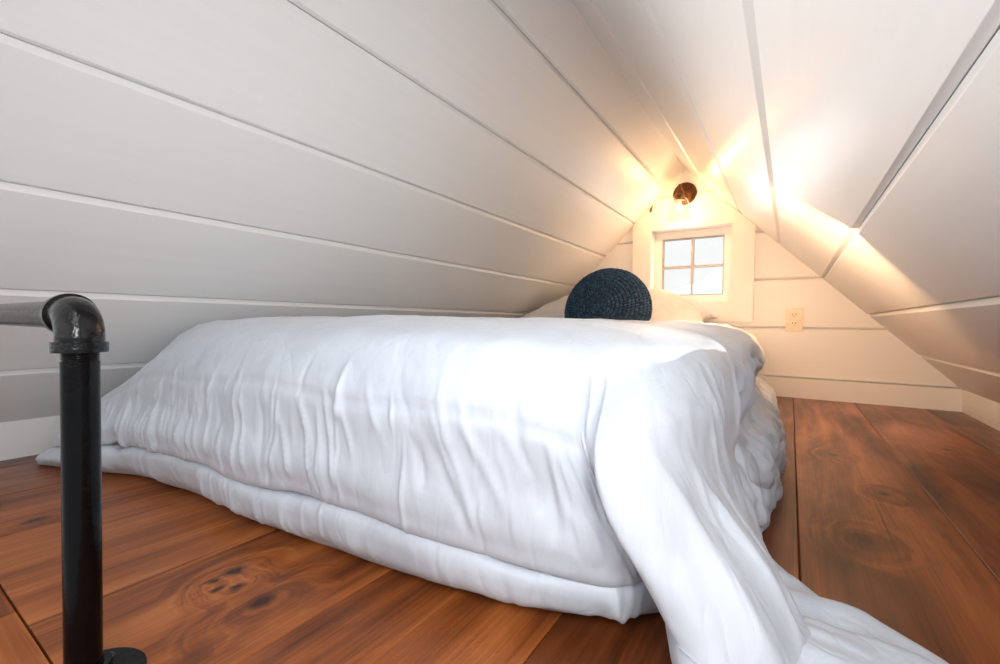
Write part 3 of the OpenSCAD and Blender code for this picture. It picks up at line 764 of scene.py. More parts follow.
def floor_planks():
    boards = Boards()
    notch = edge_high.x
    seams = [deck_low.x, -notch, *SEAMS, notch, deck_high.x]
    for x0, x1 in zip(seams, seams[1:]):
        start = OPEN_Y + (EDGE_W + EDGE_GAP if abs(x0 + x1) / 2 < notch else 0.0)
        section = plank_section(x0, x1, deck_low.z, deck_high.z)
        boards.prism([(x, start, z) for x, z in section], [(x, deck_high.y, z) for x, z in section])
    return boards.piece("floor_planks", plank_wood, "stained_pine", "floor_deck")


def edge_boards():
    boards = Boards()
    nose = (edge_high.z - edge_low.z) / 2
    middle = (edge_high.z + edge_low.z) / 2
    front = OPEN_Y - nose
    arc = [(front - nose * math.sin(a), middle + nose * math.cos(a)) for a in np.linspace(0.0, math.pi, 13)]
    back = OPEN_Y + EDGE_W
    section = [(back - EDGE_GAP, edge_low.z), (back - EDGE_GAP, edge_high.z - EASE),
               (back - EASE, edge_high.z), *arc]
    for x0, x1 in ((edge_low.x, BUTT_X - BUTT_GAP), (BUTT_X + BUTT_GAP, edge_high.x)):
        boards.prism([(x0, y, z) for y, z in section], [(x1, y, z) for y, z in section])
    return boards.piece("edge_boards", beam_wood, "stained_pine", "edge_board")


print(floor_planks().name, edge_boards().name)

# %% [markdown]
# ## Comforter
# A comforter is two sheets with filling between, sewn together at the edge. It lies over the mattress,
# hangs down on three sides, and one corner has slipped off and runs out over the floor. Where the edge
# seam pulls the cloth together, fine upright wrinkles start and fade out higher up.
#
# A form like this can be lofted as a boat's hull is: at each station round the bed a rib goes up from
# the floor over the seam and the crease to the shoulder, and from there over the top to the middle. A
# smooth surface is laid over the ribs, and the wrinkles are raised on it afterwards. That keeps the
# large form exact, which a cloth simulation over a mattress would not.

# %% A smooth surface through ribs
def spline(keys, knots, where, closed_length=None):
    """A smooth curve through the keys at their knots, sampled at the places in where."""
    keys = np.asarray(keys, float)
    knots = np.asarray(knots, float)
    if closed_length:
        keys = np.concatenate([keys[-2:], keys, keys[:3]])
        knots = np.concatenate([knots[-2:] - closed_length, knots, knots[:3] + closed_length])
    column = (-1, *[1] * (keys.ndim - 1))
    step = np.diff(knots)
    slope = np.diff(keys, axis=0) / step.reshape(column)
    share = (step[:-1] / (step[:-1] + step[1:])).reshape(column)
    middle = slope[:-1] * (1 - share) + slope[1:] * share
    tangent = np.concatenate([slope[:1], middle, slope[-1:]])
    i = np.clip(np.searchsorted(knots, where, side="right") - 1, 0, len(knots) - 2)
    h = step[i].reshape(column)
    u = ((where - knots[i]) / step[i]).reshape(column)
    return (keys[i] * (1 + 2 * u) * (1 - u) ** 2 + keys[i + 1] * u * u * (3 - 2 * u)
            + h * tangent[i] * u * (1 - u) ** 2 - h * tangent[i + 1] * u * u * (1 - u))


def grid_normals(points):
    """Outward normals of a grid of points whose first direction closes on itself."""
    along = np.roll(points, -1, axis=0) - np.roll(points, 1, axis=0)
    up = np.gradient(points, axis=1)
    normal = np.cross(along, up)
    return normal / np.maximum(np.linalg.norm(normal, axis=2, keepdims=True), 1e-9)


def ramp_up(distance, width):
    """Goes from 0 to 1 while the distance goes from 0 to the width."""
    return np.clip(distance / width, 0, 1)


print("surface helpers:", spline.__name__, grid_normals.__name__, ramp_up.__name__)

# %% [markdown]
# The ribs run from the left side at the head, round the foot, to the right side at the head and back.
# Each has its place on the floor, on the seam, on the crease and on the shoulder, in metres right of the
# ridge line, in from the open edge and above the floor, and how far the seam is drawn in there. Ribs 18
# to 25 are the corner that has slipped off the bed.

# %% The comforter's ribs
RIBS = (
    ((-0.925, 1.90), (-0.930, 1.90, 0.085), (-0.900, 1.90, 0.215), (-0.800, 1.90, 0.300), 0.3),
    ((-0.930, 1.20), (-0.935, 1.20, 0.085), (-0.905, 1.20, 0.210), (-0.800, 1.20, 0.300), 0.3),
    ((-0.960, 0.80), (-0.955, 0.80, 0.080), (-0.925, 0.80, 0.190), (-0.815, 0.80, 0.290), 0.4),
    ((-0.985, 0.55), (-0.975, 0.56, 0.060), (-0.935, 0.57, 0.155), (-0.820, 0.58, 0.265), 0.5),
    ((-0.985, 0.37), (-0.972, 0.40, 0.042), (-0.925, 0.43, 0.125), (-0.790, 0.47, 0.235), 0.5),
    ((-0.955, 0.28), (-0.935, 0.32, 0.038), (-0.875, 0.35, 0.115), (-0.730, 0.42, 0.225), 0.5),
    ((-0.890, 0.285), (-0.860, 0.325, 0.052), (-0.795, 0.345, 0.145), (-0.650, 0.405, 0.245), 0.7),
    ((-0.790, 0.315), (-0.755, 0.348, 0.068), (-0.700, 0.360, 0.185), (-0.580, 0.405, 0.272), 0.9),
    ((-0.660, 0.365), (-0.640, 0.372, 0.080), (-0.600, 0.368, 0.220), (-0.510, 0.408, 0.292), 1.0),
    ((-0.500, 0.386), (-0.490, 0.385, 0.091), (-0.460, 0.372, 0.238), (-0.410, 0.412, 0.306), 1.0),
    ((-0.340, 0.388), (-0.340, 0.388, 0.092), (-0.320, 0.374, 0.245), (-0.300, 0.415, 0.314), 1.0),
    ((-0.200, 0.392), (-0.200, 0.394, 0.087), (-0.180, 0.374, 0.250), (-0.170, 0.418, 0.317), 1.0),
    ((-0.060, 0.406), (-0.060, 0.414, 0.091), (-0.050, 0.384, 0.250), (-0.040, 0.424, 0.317), 1.0),
    ((0.060, 0.419), (0.064, 0.424, 0.087), (0.060, 0.394, 0.246), (0.060, 0.432, 0.315), 1.0),
    ((0.160, 0.435), (0.168, 0.436, 0.080), (0.160, 0.404, 0.240), (0.150, 0.442, 0.312), 1.0),
    ((0.250, 0.453), (0.250, 0.455, 0.071), (0.245, 0.424, 0.235), (0.235, 0.457, 0.308), 1.0),
    ((0.320, 0.488), (0.318, 0.484, 0.066), (0.294, 0.434, 0.225), (0.280, 0.465, 0.304), 0.9),
    ((0.372, 0.545), (0.368, 0.535, 0.060), (0.308, 0.430, 0.220), (0.296, 0.468, 0.303), 0.5),
    ((0.402, 0.470), (0.386, 0.458, 0.066), (0.317, 0.424, 0.218), (0.307, 0.470, 0.302), 0.1),
    ((0.432, 0.412), (0.404, 0.410, 0.064), (0.326, 0.414, 0.222), (0.316, 0.474, 0.302), 0.0),
    ((0.510, 0.398), (0.446, 0.408, 0.054), (0.350, 0.428, 0.238), (0.330, 0.494, 0.304), 0.0),
    ((0.590, 0.425), (0.476, 0.446, 0.050), (0.376, 0.458, 0.250), (0.346, 0.524, 0.307), 0.0),
    ((0.640, 0.505), (0.490, 0.500, 0.046), (0.396, 0.505, 0.256), (0.360, 0.560, 0.310), 0.0),
    ((0.635, 0.605), (0.486, 0.560, 0.038), (0.406, 0.555, 0.256), (0.370, 0.600, 0.312), 0.0),
    ((0.550, 0.646), (0.464, 0.612, 0.036), (0.414, 0.610, 0.252), (0.378, 0.650, 0.313), 0.0),
    ((0.470, 0.668), (0.444, 0.660, 0.044), (0.420, 0.662, 0.246), (0.384, 0.700, 0.313), 0.1),
    ((0.440, 0.765), (0.434, 0.760, 0.060), (0.426, 0.745, 0.240), (0.388, 0.770, 0.312), 0.3),
    ((0.446, 0.845), (0.442, 0.850, 0.075), (0.424, 0.845, 0.252), (0.388, 0.850, 0.312), 0.4),
    ((0.458, 0.950), (0.448, 0.955, 0.085), (0.422, 0.955, 0.258), (0.388, 0.955, 0.314), 0.4),
    ((0.462, 1.250), (0.448, 1.250, 0.085), (0.414, 1.250, 0.260), (0.380, 1.250, 0.314), 0.4),
    ((0.450, 1.600), (0.432, 1.600, 0.080), (0.398, 1.600, 0.250), (0.362, 1.600, 0.310), 0.4),
    ((0.405, 2.050), (0.390, 2.050, 0.075), (0.366, 2.050, 0.240), (0.334, 2.050, 0.302), 0.4),
    ((0.352, 2.360), (0.352, 2.360, 0.080), (0.345, 2.350, 0.225), (0.310, 2.330, 0.290), 0.4),
    ((0.300, 2.462), (0.300, 2.466, 0.080), (0.292, 2.462, 0.215), (0.262, 2.405, 0.285), 0.3),
    ((-0.300, 2.466), (-0.300, 2.470, 0.080), (-0.300, 2.466, 0.215), (-0.300, 2.410, 0.285), 0.3),
    ((-0.860, 2.462), (-0.855, 2.466, 0.080), (-0.845, 2.462, 0.205), (-0.760, 2.400, 0.275), 0.3),
    ((-0.920, 2.360), (-0.922, 2.360, 0.080), (-0.895, 2.350, 0.205), (-0.800, 2.330, 0.285), 0.3),
)
SPINE_X, SPINE_Y0, SPINE_Y1 = -0.285, 0.90, 2.10
CROWN = 0.338
BAND_OUT = 0.018
ROLL_OUT = 0.026
BODY_PLAIN = 0.014
# The cloth is hollow where it comes down to the floor, and below the bulge at the right side
BODY_OUT = {20: 0.0, 21: -0.012, 22: -0.020, 23: -0.020, 24: -0.016, 25: -0.012}
BODY_OUT.update((rib, -0.030) for rib in range(26, 33))
UP = np.array([0.0, 0.0, 1.0])
FOOT_Z = 0.003


def toward(start, end, sideways, upward):
    """A share of the way from start to end, with another share for the height."""
    return start + (end - start) * np.array([sideways, sideways, upward])


def comforter_ribs():
    """The ribs with their rounded parts filled in, as an array of ribs by levels by three.

    Below the seam are the band and its brim. The pit is the seam's fold, the lip and the roll bulge over
    it, and rim, deck and field carry the top from the shoulder to the spine in the middle.
    """
    seam = np.array([rib[1] for rib in RIBS])
    along = np.roll(seam, -1, axis=0) - np.roll(seam, 1, axis=0)
    outward = np.stack([along[:, 1], -along[:, 0], np.zeros(len(seam))], axis=1)
    outward /= np.linalg.norm(outward, axis=1, keepdims=True)
    ribs = []
    for i, ((foot, seam_at, crease, shoulder, drawn), out) in enumerate(zip(RIBS, outward)):
        foot = np.array([*foot, FOOT_Z])
        seam_at, crease, shoulder = (np.array(p) for p in (seam_at, crease, shoulder))
        band = (foot + seam_at) / 2 + out * BAND_OUT * (0.4 + 0.6 * drawn)
        brim = foot + (seam_at - foot) * 0.97 + out * 0.012 * drawn
        pit = seam_at - out * 0.040 * drawn
        lip = seam_at + (crease - seam_at) * 0.04 + out * 0.017 * drawn - UP * 0.009 * drawn
        roll = seam_at + (crease - seam_at) * 0.15 + out * ROLL_OUT * drawn
        body = seam_at + (crease - seam_at) * 0.52 + out * BODY_OUT.get(i, BODY_PLAIN)
        spine = np.array([SPINE_X, np.clip(shoulder[1], SPINE_Y0, SPINE_Y1), CROWN + 0.004])
        inner = toward(spine, shoulder, 0.06, 0.0)
        rim = toward(shoulder, spine, 0.10, 0.62)
        deck = toward(shoulder, spine, 0.30, 0.93)
        field = toward(shoulder, spine, 0.62, 1.0)
        ribs.append([foot - out * 0.022 * drawn, band, brim, pit, lip, roll, body, crease,
                     shoulder, rim, deck, field, inner])
    return np.array(ribs)


# How far up a rib each of its points counts, in metres of cloth
LEVELS = np.array([0.0, 0.045, 0.076, 0.095, 0.114, 0.132, 0.18, 0.26, 0.34, 0.39, 0.50, 0.68, 0.95])
SEAM, CREASE = 3, 7
# Ribs that the wrinkles are placed by
LEFT_FOOT, PINCH, FOOT_MID, FOOT_RIGHT, FOLD, CORNER, SPILL, SIDE, HEAD = 5, 8, 10, 15, 17, 18, 20, 25, 32
print("ribs:", len(RIBS), "levels:", len(LEVELS))

# %% [markdown]
# Wrinkles on a pulled cloth are ridges with a fairly sharp crest and soft flanks. Each one is given by the
# place where it starts, how long, wide and high it is and how much it leans, all drawn at random within
# what the cloth shows: short and close over the seam at the left, longer and wider on the corner that
# hangs down. Broad noise below them stands for the uneven filling.

# %% Ridges and noise
def ridges(t, s, t_range, count, start, length, width, height, lean, seed):
    """Adds up random ridges that run along the ribs; t is along the edge, s up the ribs, in metres."""
    dice = np.random.default_rng(seed)
    total = np.zeros_like(s)
    for _ in range(count):
        middle = dice.uniform(*t_range)
        low = dice.uniform(*start)
        span = dice.uniform(*length)
        wide = dice.uniform(*width)
        high = dice.uniform(*height) * dice.choice((1.0, 1.0, -0.7))
        tilt = dice.uniform(*lean)
        bend = dice.uniform(-0.06, 0.06)
        u = (s - low) / span
        across = (t - middle - tilt * (s - low) - bend * np.sin(u * 3.0) * span) / wide
        fade = np.clip(np.minimum(u * 6.0, (1.0 - u) * 1.8), 0.0, 1.0)
        total += high * fade * fade * (3 - 2 * fade) / (1.0 + np.abs(across) ** 2.6)
    return total


def fbm(points, scale, octaves=3, stretch=(1.0, 1.0, 1.0)):
    """Smooth noise at each point, about from -1 to 1."""
    flat = points.reshape(-1, 3) * np.array(stretch) / scale
    values = [noise.fractal(Vector(p), 1.0, 2.1, octaves) for p in flat]
    return np.array(values).reshape(points.shape[:-1])


print("wrinkle helpers:", ridges.__name__, fbm.__name__)

# %% [markdown]
# The wrinkles are laid out part by part: over the seam, on the band below it, on the hanging corner, on
# the crumpled right side, and along the shoulder towards the pillow. Each call says where they are, how
# many there are, and between which limits each measure is drawn.

# %% The comforter's relief
def sewn(t, knots):
    """1 where the seam draws the cloth in, round the foot of the bed, and 0 elsewhere."""
    return ramp_up(knots[CORNER] - t, 0.05) * ramp_up(t - knots[LEFT_FOOT], 0.05)


def comforter_relief(t, s, surface, knots):
    """How far the cloth stands out from the smooth form at each point."""
    left, fold, side, head = (knots[rib] for rib in (LEFT_FOOT, FOLD, SIDE, HEAD))
    seam = LEVELS[SEAM]
    relief = -0.004 * (np.exp(-((s - seam) / 0.006) ** 2) * sewn(t, knots))
    pinch = knots[PINCH] - 0.03
    relief -= 0.014 * np.exp(-((t - pinch) / 0.020) ** 2 - ((s - seam) / 0.030) ** 2)
    relief += ridges(t, s, (left - 0.05, knots[FOOT_MID]), 70, (seam + 0.010, seam + 0.024), (0.05, 0.15),
                     (0.0020, 0.0042), (0.0020, 0.0050), (-0.40, 0.05), 3)
    relief += ridges(t, s, (knots[FOOT_MID - 1], fold), 46, (seam + 0.010, seam + 0.034), (0.05, 0.16),
                     (0.0022, 0.0050), (0.0018, 0.0048), (-0.50, 0.05), 4)
    relief += ridges(t, s, (left + 0.05, fold), 50, (seam + 0.05, seam + 0.13), (0.04, 0.12),
                     (0.0024, 0.0060), (0.0014, 0.0038), (-0.60, 0.10), 8)
    relief += ridges(t, s, (left + 0.1, fold), 70, (0.004, 0.03), (0.04, 0.075),
                     (0.0022, 0.0050), (0.0012, 0.0034), (-0.7, 0.3), 5)
    # A few deep creases beside the hanging fold
    relief += ridges(t, s, (knots[FOOT_RIGHT], fold - 0.01), 9, (seam + 0.02, seam + 0.06), (0.08, 0.15),
                     (0.004, 0.008), (0.005, 0.009), (-0.25, 0.02), 12)
    relief += ridges(t, s, (knots[SPILL], side), 22, (-0.03, 0.06), (0.10, 0.24),
                     (0.008, 0.018), (0.003, 0.008), (-0.20, 0.20), 6)
    relief += ridges(t, s, (knots[SPILL], side), 22, (0.00, 0.22), (0.04, 0.12),
                     (0.0025, 0.0055), (0.0015, 0.0040), (-0.6, 0.6), 9)
    relief += ridges(t, s, (side - 0.08, head), 120, (-0.01, 0.24), (0.05, 0.20),
                     (0.004, 0.012), (0.002, 0.008), (-0.9, 0.9), 7)
    # Long wrinkles run beside the right shoulder towards the pillow
    relief += ridges(s, t, (0.28, 0.56), 34, (side - 0.1, head - 0.5), (0.25, 0.8),
                     (0.004, 0.011), (0.002, 0.006), (-0.12, 0.12), 11)
    # The upright wrinkles begin under a faint line
    upper = LEVELS[CREASE] - 0.012 + 0.006 * np.sin(t * 17.0)
    relief -= 0.0025 * np.exp(-((s - upper) / 0.006) ** 2) * ramp_up(fold - t, 0.1)
    crumple = ramp_up(t - side, 0.06) * ramp_up(head - t, 0.4) * ramp_up(0.30 - s, 0.05)
    sag = 1.0 - np.abs(fbm(surface, 0.13, 2, (1.0, 1.0, 0.5))) * 2.0
    broad = fbm(surface, 0.16, 2)
    small = fbm(surface, 0.045, 3)
    fine = 1.0 - np.abs(fbm(surface, 0.05, 3, (1.0, 1.0, 0.6))) * 2.0
    relief += 0.006 * broad + 0.0016 * small + crumple * (0.014 * (fine - 0.6) + 0.012 * (sag - 0.6))
    return relief


print("wrinkles start", LEVELS[SEAM], "m up the cloth, and end under", LEVELS[CREASE], "m")

# %% [markdown]
# The surface is laid over the ribs in two goes, first along the edge and then up the ribs. Its points are
# closest where the wrinkles are finest. The cloth touches the floor and stays clear of the left slope,
# and the seam gets a number of its own, which the material uses to paint shade into the seam's fold.

# %% The comforter's surface
# From which rib on, how far apart the columns of points are
COLUMNS = ((0, 0.028), (5, 0.0022), (18, 0.0034), (26, 0.0065), (31, 0.028))
# How many steps each stretch between two heights has
RISE = ((0.0, 10), (0.070, 18), (0.135, 22), (0.30, 8), (0.36, 20))
WALL_GAP = 0.006


def level_steps():
    """Places up the ribs: close together at the seam, and further apart on the top."""
    heights = [h for h, _ in RISE] + [LEVELS[-1]]
    parts = [np.linspace(low, high, n, endpoint=False) for (low, n), high in zip(RISE, heights[1:])]
    return np.concatenate([*parts, [LEVELS[-1]]])


def comforter_surface():
    """The points as a grid, and how close each is to the seam, from 0 to 1, as the mask of the seam's
    painted shade.
    """
    ribs = comforter_ribs()
    seam = ribs[:, SEAM]
    step = np.linalg.norm(np.roll(seam, -1, axis=0) - seam, axis=1)
    knots = np.concatenate([[0.0], np.cumsum(step)[:-1]])
    length = step.sum()
    starts = [knots[rib] for rib, _ in COLUMNS] + [length]
    stretches = zip(COLUMNS, starts, starts[1:])
    t = np.concatenate([np.arange(low, high, gap) for (_, gap), low, high in stretches])
    s = level_steps()
    surface = spline(ribs, knots, t, length)
    surface = np.swapaxes(spline(np.swapaxes(surface, 0, 1), LEVELS, s), 0, 1)
    tt, ss = np.meshgrid(t, s, indexing="ij")
    calm = ramp_up(LEVELS[-1] - ss, 0.2)
    relief = comforter_relief(tt, ss, surface, knots) * calm
    surface = surface + grid_normals(surface) * relief[..., None]
    surface[..., 2] = np.maximum(surface[..., 2], FOOT_Z)
    surface[:, 0, 2] = FOOT_Z
    room = HALF_W - np.maximum(surface[..., 2], base_high.z - FLOOR_Z) - WALL_GAP
    surface[..., 0] = np.maximum(surface[..., 0], -room)
    return surface, np.exp(-((ss - LEVELS[SEAM]) / 0.0055) ** 2) * sewn(tt, knots)


cloth_points, seam_shade = comforter_surface()
print("comforter grid:", cloth_points.shape)

# %% [markdown]
# The grid becomes a closed mesh, and the cloth is a smooth microfibre in a pale grey: it has a soft
# sheen, small creases that only bend the light, and painted shade, a darker line, where the seam draws it
# in.

# %% The comforter's cloth
def grid_piece(name, surface, finish, slot, *stands_for):
    """A closed ring of profiles as a mesh; the first and last level are closed by a flat face."""
    rows, levels = surface.shape[:2]
    verts = surface.reshape(-1, 3) + np.array([0.0, OPEN_Y, FLOOR_Z])
    a = np.arange(rows)[:, None] * levels + np.arange(levels - 1)[None, :]
    b = (np.arange(rows)[:, None] + 1) % rows * levels + np.arange(levels - 1)[None, :]
    faces = np.stack([a, b, b + 1, a + 1], axis=2).reshape(-1, 4).tolist()
    faces.append([r * levels for r in range(rows)][::-1])
    faces.append([r * levels + levels - 1 for r in range(rows)])
    mesh = bpy.data.meshes.new(name)
    mesh.from_pydata(verts.tolist(), [], faces)
    return make_piece(name, taken_over(mesh), finish, slot, *stands_for, smooth=True)


def brushed_cloth():
    s = Shader("brushed_cloth", Sheen_Weight=0.15, Sheen_Roughness=0.4, Specular_IOR_Level=0.5)
    crease = s.noise(s.stretch((26.0, 26.0, 9.0)), 1.0, 4.0, 0.55, 0.8)
    thread = s.noise(s.place, 900.0, 1.0, 0.5)
    cloth = s.ramp(crease, (0.3, (0.48, 0.51, 0.565)), (0.7, (0.55, 0.585, 0.64)))
    # Painted shade: where the seam draws the cloth in, its colour is mixed towards near-black.
    seam = s.add("ShaderNodeAttribute", attribute_name="seam").outputs["Fac"]
    s.set("Base Color", s.mix(s.math("MULTIPLY", seam, 0.8), cloth, (0.13, 0.12, 0.13)))
    s.set("Roughness", s.span(crease, 0.3, 0.7, 0.36, 0.50))
    s.bump(crease, 0.005, 0.3)
    # Where this noise passes its middle value the cloth has a sharp little crease
    line = s.noise(s.stretch((24.0, 24.0, 6.5), (0.0, 0.10, 0.0)), 1.0, 1.0, 0.5)
    s.bump(s.span(s.math("ABSOLUTE", s.math("SUBTRACT", line, 0.5)), 0.0, 0.06), 0.0022, 0.22)
    s.bump(thread, 0.0002, 0.3)
    return s.material


microfibre = brushed_cloth()
comforter = grid_piece("comforter_cloth", cloth_points, microfibre, "comforter_cloth", "comforter")
# The seam mask goes on the mesh for the painted shade along the seam.
comforter.data.attributes.new("seam", "FLOAT", "POINT").data.foreach_set("value", seam_shade.ravel())
print(comforter.name, len(comforter.data.polygons), "faces")

# %% [markdown]
# ## Pillow
# A pillow is sewn flat and blown up by its filling: it is thick in the middle, its corners stay thin and
# stick out a little, and its edges curve in between them. Puckers run in from the seam. It is made as two
# sheets over one grid, whose height falls off towards the edge. This one is pushed against the gable, so
# its back is fuller than its front.

# %% Pillow
PILLOW_TOP = 0.168
PILLOW_UNDER = 0.016
PILLOW_EDGE = 0.020
PILLOW_BACK = 0.022
PUCKERS = 42
PILLOW_CELLS = (130, 76)
rest_low, rest_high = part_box("pillow")
PILLOW_HALF = ((rest_high.x - rest_low.x) / 2, (rest_high.y - rest_low.y) / 2)
PILLOW_AT = ((rest_high.x + rest_low.x) / 2, (rest_high.y + rest_low.y) / 2 - OPEN_Y)


def pillow_sheet(sign):
    """Points of the upper (1) or the lower (-1) sheet, as a grid in metres."""
    u, v = np.meshgrid(*(np.linspace(-1, 1, cells) for cells in PILLOW_CELLS), indexing="ij")
    x = PILLOW_AT[0] + PILLOW_HALF[0] * u * (1 - 0.055 * (1 - v * v) * np.abs(u) ** 3)
    y = PILLOW_AT[1] + PILLOW_HALF[1] * v * (1 - 0.10 * (1 - u * u) * np.abs(v) ** 3)
    fill = np.clip((1 - np.abs(u) ** 2.1) * (1 - np.abs(v) ** 2.4), 0.0, 1.0) ** 0.62
    edge = CROWN + PILLOW_EDGE + 0.010 * np.sin(5.0 * u + 1.0) * np.abs(v) + 0.014 * v
    lift = PILLOW_TOP * (0.92 + 0.12 * v) if sign > 0 else -PILLOW_UNDER
    points = np.stack([x, y, edge + fill * lift], axis=2)
    angle = np.arctan2(v, u)
    reach = np.maximum(np.abs(u), np.abs(v))
    pucker = np.zeros_like(u)
    dice = np.random.default_rng(21 + sign)
    for _ in range(PUCKERS):
        way = dice.uniform(-math.pi, math.pi)
        width = dice.uniform(0.03, 0.09)
        off = (angle - way + math.pi) % (2 * math.pi) - math.pi
        pucker += dice.uniform(0.002, 0.006) * np.exp(-(off / width) ** 2) * ramp_up(reach - 0.35, 0.5)
    folds = fbm(points, 0.11, 3) * 0.008 + fbm(points, 0.035, 2) * 0.002
    points[..., 2] += sign * (pucker + folds) * np.clip(fill * 2.5, 0, 1)
    points[..., 1] = np.minimum(points[..., 1], gable_low.y - OPEN_Y - PILLOW_BACK)
    return points


def two_sheets(name, sheets, finish, slot, *stands_for):
    """Joins an upper and a lower grid that share their edge."""
    verts = []
    faces = []
    for sign, sheet in sheets:
        n, m = sheet.shape[:2]
        base = len(verts)
        verts += (sheet.reshape(-1, 3) + np.array([0.0, OPEN_Y, FLOOR_Z])).tolist()
        for i in range(n - 1):
            for j in range(m - 1):
                a = base + i * m + j
                face = (a, a + m, a + m + 1, a + 1)
                faces.append(face if sign > 0 else face[::-1])
    mesh = bpy.data.meshes.new(name)
    mesh.from_pydata(verts, [], faces)
    bm = taken_over(mesh)
    bmesh.ops.remove_doubles(bm, verts=bm.verts, dist=0.0004)
    return make_piece(name, bm, finish, slot, *stands_for, smooth=True)


def cotton():
    s = Shader("white_cotton", Sheen_Weight=0.2, Sheen_Roughness=0.5, Roughness=0.72, Specular_IOR_Level=0.3)
    crease = s.noise(s.stretch((30.0, 14.0, 30.0)), 1.0, 4.0, 0.55, 0.5)
    thread = s.noise(s.place, 1100.0, 1.0, 0.5)
    s.set("Base Color", s.ramp(crease, (0.3, (0.70, 0.69, 0.68)), (0.7, (0.78, 0.77, 0.76))))
    s.bump(crease, 0.004, 0.35)
    s.bump(thread, 0.0002, 0.3)
    return s.material


white_cotton = cotton()
pillow_sheets = [(sign, pillow_sheet(sign)) for sign in (1, -1)]
pillow = two_sheets("pillow_case", pillow_sheets, white_cotton, "pillow_cloth", "pillow")
print(pillow.name, len(pillow.data.polygons), "faces")

# %% [markdown]
# ## Round cushion
# The cushion is crocheted in rings from the middle of its face outwards. Every stitch is a pair of short
# thick loops that lean towards each other, so the whole cushion is built from such pairs, set along the
# rings on a plain round body. One loop is modelled once and then placed a few thousand times with arrays.

# %% Stitches in rings
cushion_low, cushion_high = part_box("round_cushion")
CUSHION_R = (cushion_high.x - cushion_low.x) / 2 - 0.006
CUSHION_T = 0.083
RING_PITCH = 0.0155
STITCH = 0.0115
LOOP_LEAN = math.radians(34.0)
LOOP_HALF = (RING_PITCH * 0.56, 0.0038, 0.0052)


def cushion_outline():
    """Radius, height and the way covered, from the front pole to the back pole."""
    turn = np.linspace(math.pi / 2, -math.pi / 2, 400)
    r = CUSHION_R * np.abs(np.cos(turn)) ** 0.85
    h = CUSHION_T * np.sign(np.sin(turn)) * np.abs(np.sin(turn)) ** 0.95
    return r, h, np.concatenate([[0.0], np.cumsum(np.hypot(np.diff(r), np.diff(h)))])


def cushion_profile(count):
    """Radius and height of the body at even steps along its outline."""
    r, h, along = cushion_outline()
    steps = (np.arange(count) + 0.5) / count * along[-1]
    return np.interp(steps, along, r), np.interp(steps, along, h)


def ball(segments, rings):
    """Unit ball: points and faces."""
    points = [(0.0, 0.0, 1.0)]
    turns = [2 * math.pi * j / segments for j in range(segments)]
    for i in range(1, rings + 1):
        sin, cos = math.sin(math.pi * i / (rings + 1)), math.cos(math.pi * i / (rings + 1))
        points += [(sin * math.cos(a), sin * math.sin(a), cos) for a in turns]
    points.append((0.0, 0.0, -1.0))
    pairs = [(j, (j + 1) % segments) for j in range(segments)]
    faces = [(0, 1 + j, 1 + k) for j, k in pairs]
    for i in range(rings - 1):
        a = 1 + i * segments
        faces += [(a + j, a + segments + j, a + segments + k, a + k) for j, k in pairs]
    a = 1 + (rings - 1) * segments
    faces += [(a + j, len(points) - 1, a + k) for j, k in pairs]
    return np.array(points), faces


def stitches():
    """Pairs of loops along all rings: points, faces, and a random number for each face."""
    rings = round(cushion_outline()[2][-1] / RING_PITCH)
    radius, height = cushion_profile(rings)
    inner = np.stack([np.gradient(radius), np.gradient(height)], axis=1)
    inner /= np.linalg.norm(inner, axis=1, keepdims=True)
    loop, loop_faces = ball(6, 3)
    verts, faces, numbers = [], [], []
    for k in range(rings):
        count = max(3, round(2 * math.pi * radius[k] / STITCH))
        down = inner[k]
        out = np.array([-down[1], down[0]])
        for j in range(count):
            turn = 2 * math.pi * (j + 0.5 * (k % 2)) / count
            ray = np.array([math.cos(turn), math.sin(turn), 0.0])
            side = np.array([-math.sin(turn), math.cos(turn), 0.0])
            across = ray * down[0] + UP * down[1]
            face_out = ray * out[0] + UP * out[1]
            centre = ray * radius[k] + UP * height[k]
            if face_out @ centre < 0:
                face_out = -face_out
            for leg in (-1, 1):
                lean = leg * LOOP_LEAN
                long_way = across * math.cos(lean) + side * math.sin(lean)
                short_way = side * math.cos(lean) - across * math.sin(lean)
                spot = centre + side * leg * STITCH * 0.24 + face_out * rng.uniform(-0.0008, 0.0008)
                base = len(verts) * len(loop)
                axes = np.array([long_way, short_way, face_out]) * np.array(LOOP_HALF)[:, None]
                verts.append(spot + loop @ axes)
                faces += [tuple(base + i for i in face) for face in loop_faces]
                numbers += [float(rng.random())] * len(loop_faces)
    return np.concatenate(verts), faces, numbers


print("a ring of stitches every %.1f mm" % (RING_PITCH * 1000))

# %% [markdown]
# The body under the stitches closes what shows between them. The finished cushion leans on the pillow,
# and its lower side is flat where it sits.

# %% Crocheted cushion
CUSHION_LEAN = math.radians(76.0)
BODY_INSET = 0.003
BODY_ROWS = 40
BODY_STEPS = 72
SIT_SOFT = 0.03


def cushion_body():
    radius, height = cushion_profile(BODY_ROWS)
    turns = np.linspace(0, 2 * math.pi, BODY_STEPS, endpoint=False)
    body = []
    for r, h in zip(radius, height):
        r = max(r - BODY_INSET, 0.0)
        body += [(r * math.cos(a), r * math.sin(a), h * 0.96) for a in turns]
    faces = []
    for i in range(0, (BODY_ROWS - 1) * BODY_STEPS, BODY_STEPS):
        for j in range(BODY_STEPS):
            k = (j + 1) % BODY_STEPS
            faces.append((i + j, i + BODY_STEPS + j, i + BODY_STEPS + k, i + k))
    count = BODY_ROWS * BODY_STEPS
    faces += [tuple(range(BODY_STEPS)), tuple(range(count - BODY_STEPS, count))[::-1]]
    return np.array(body), faces


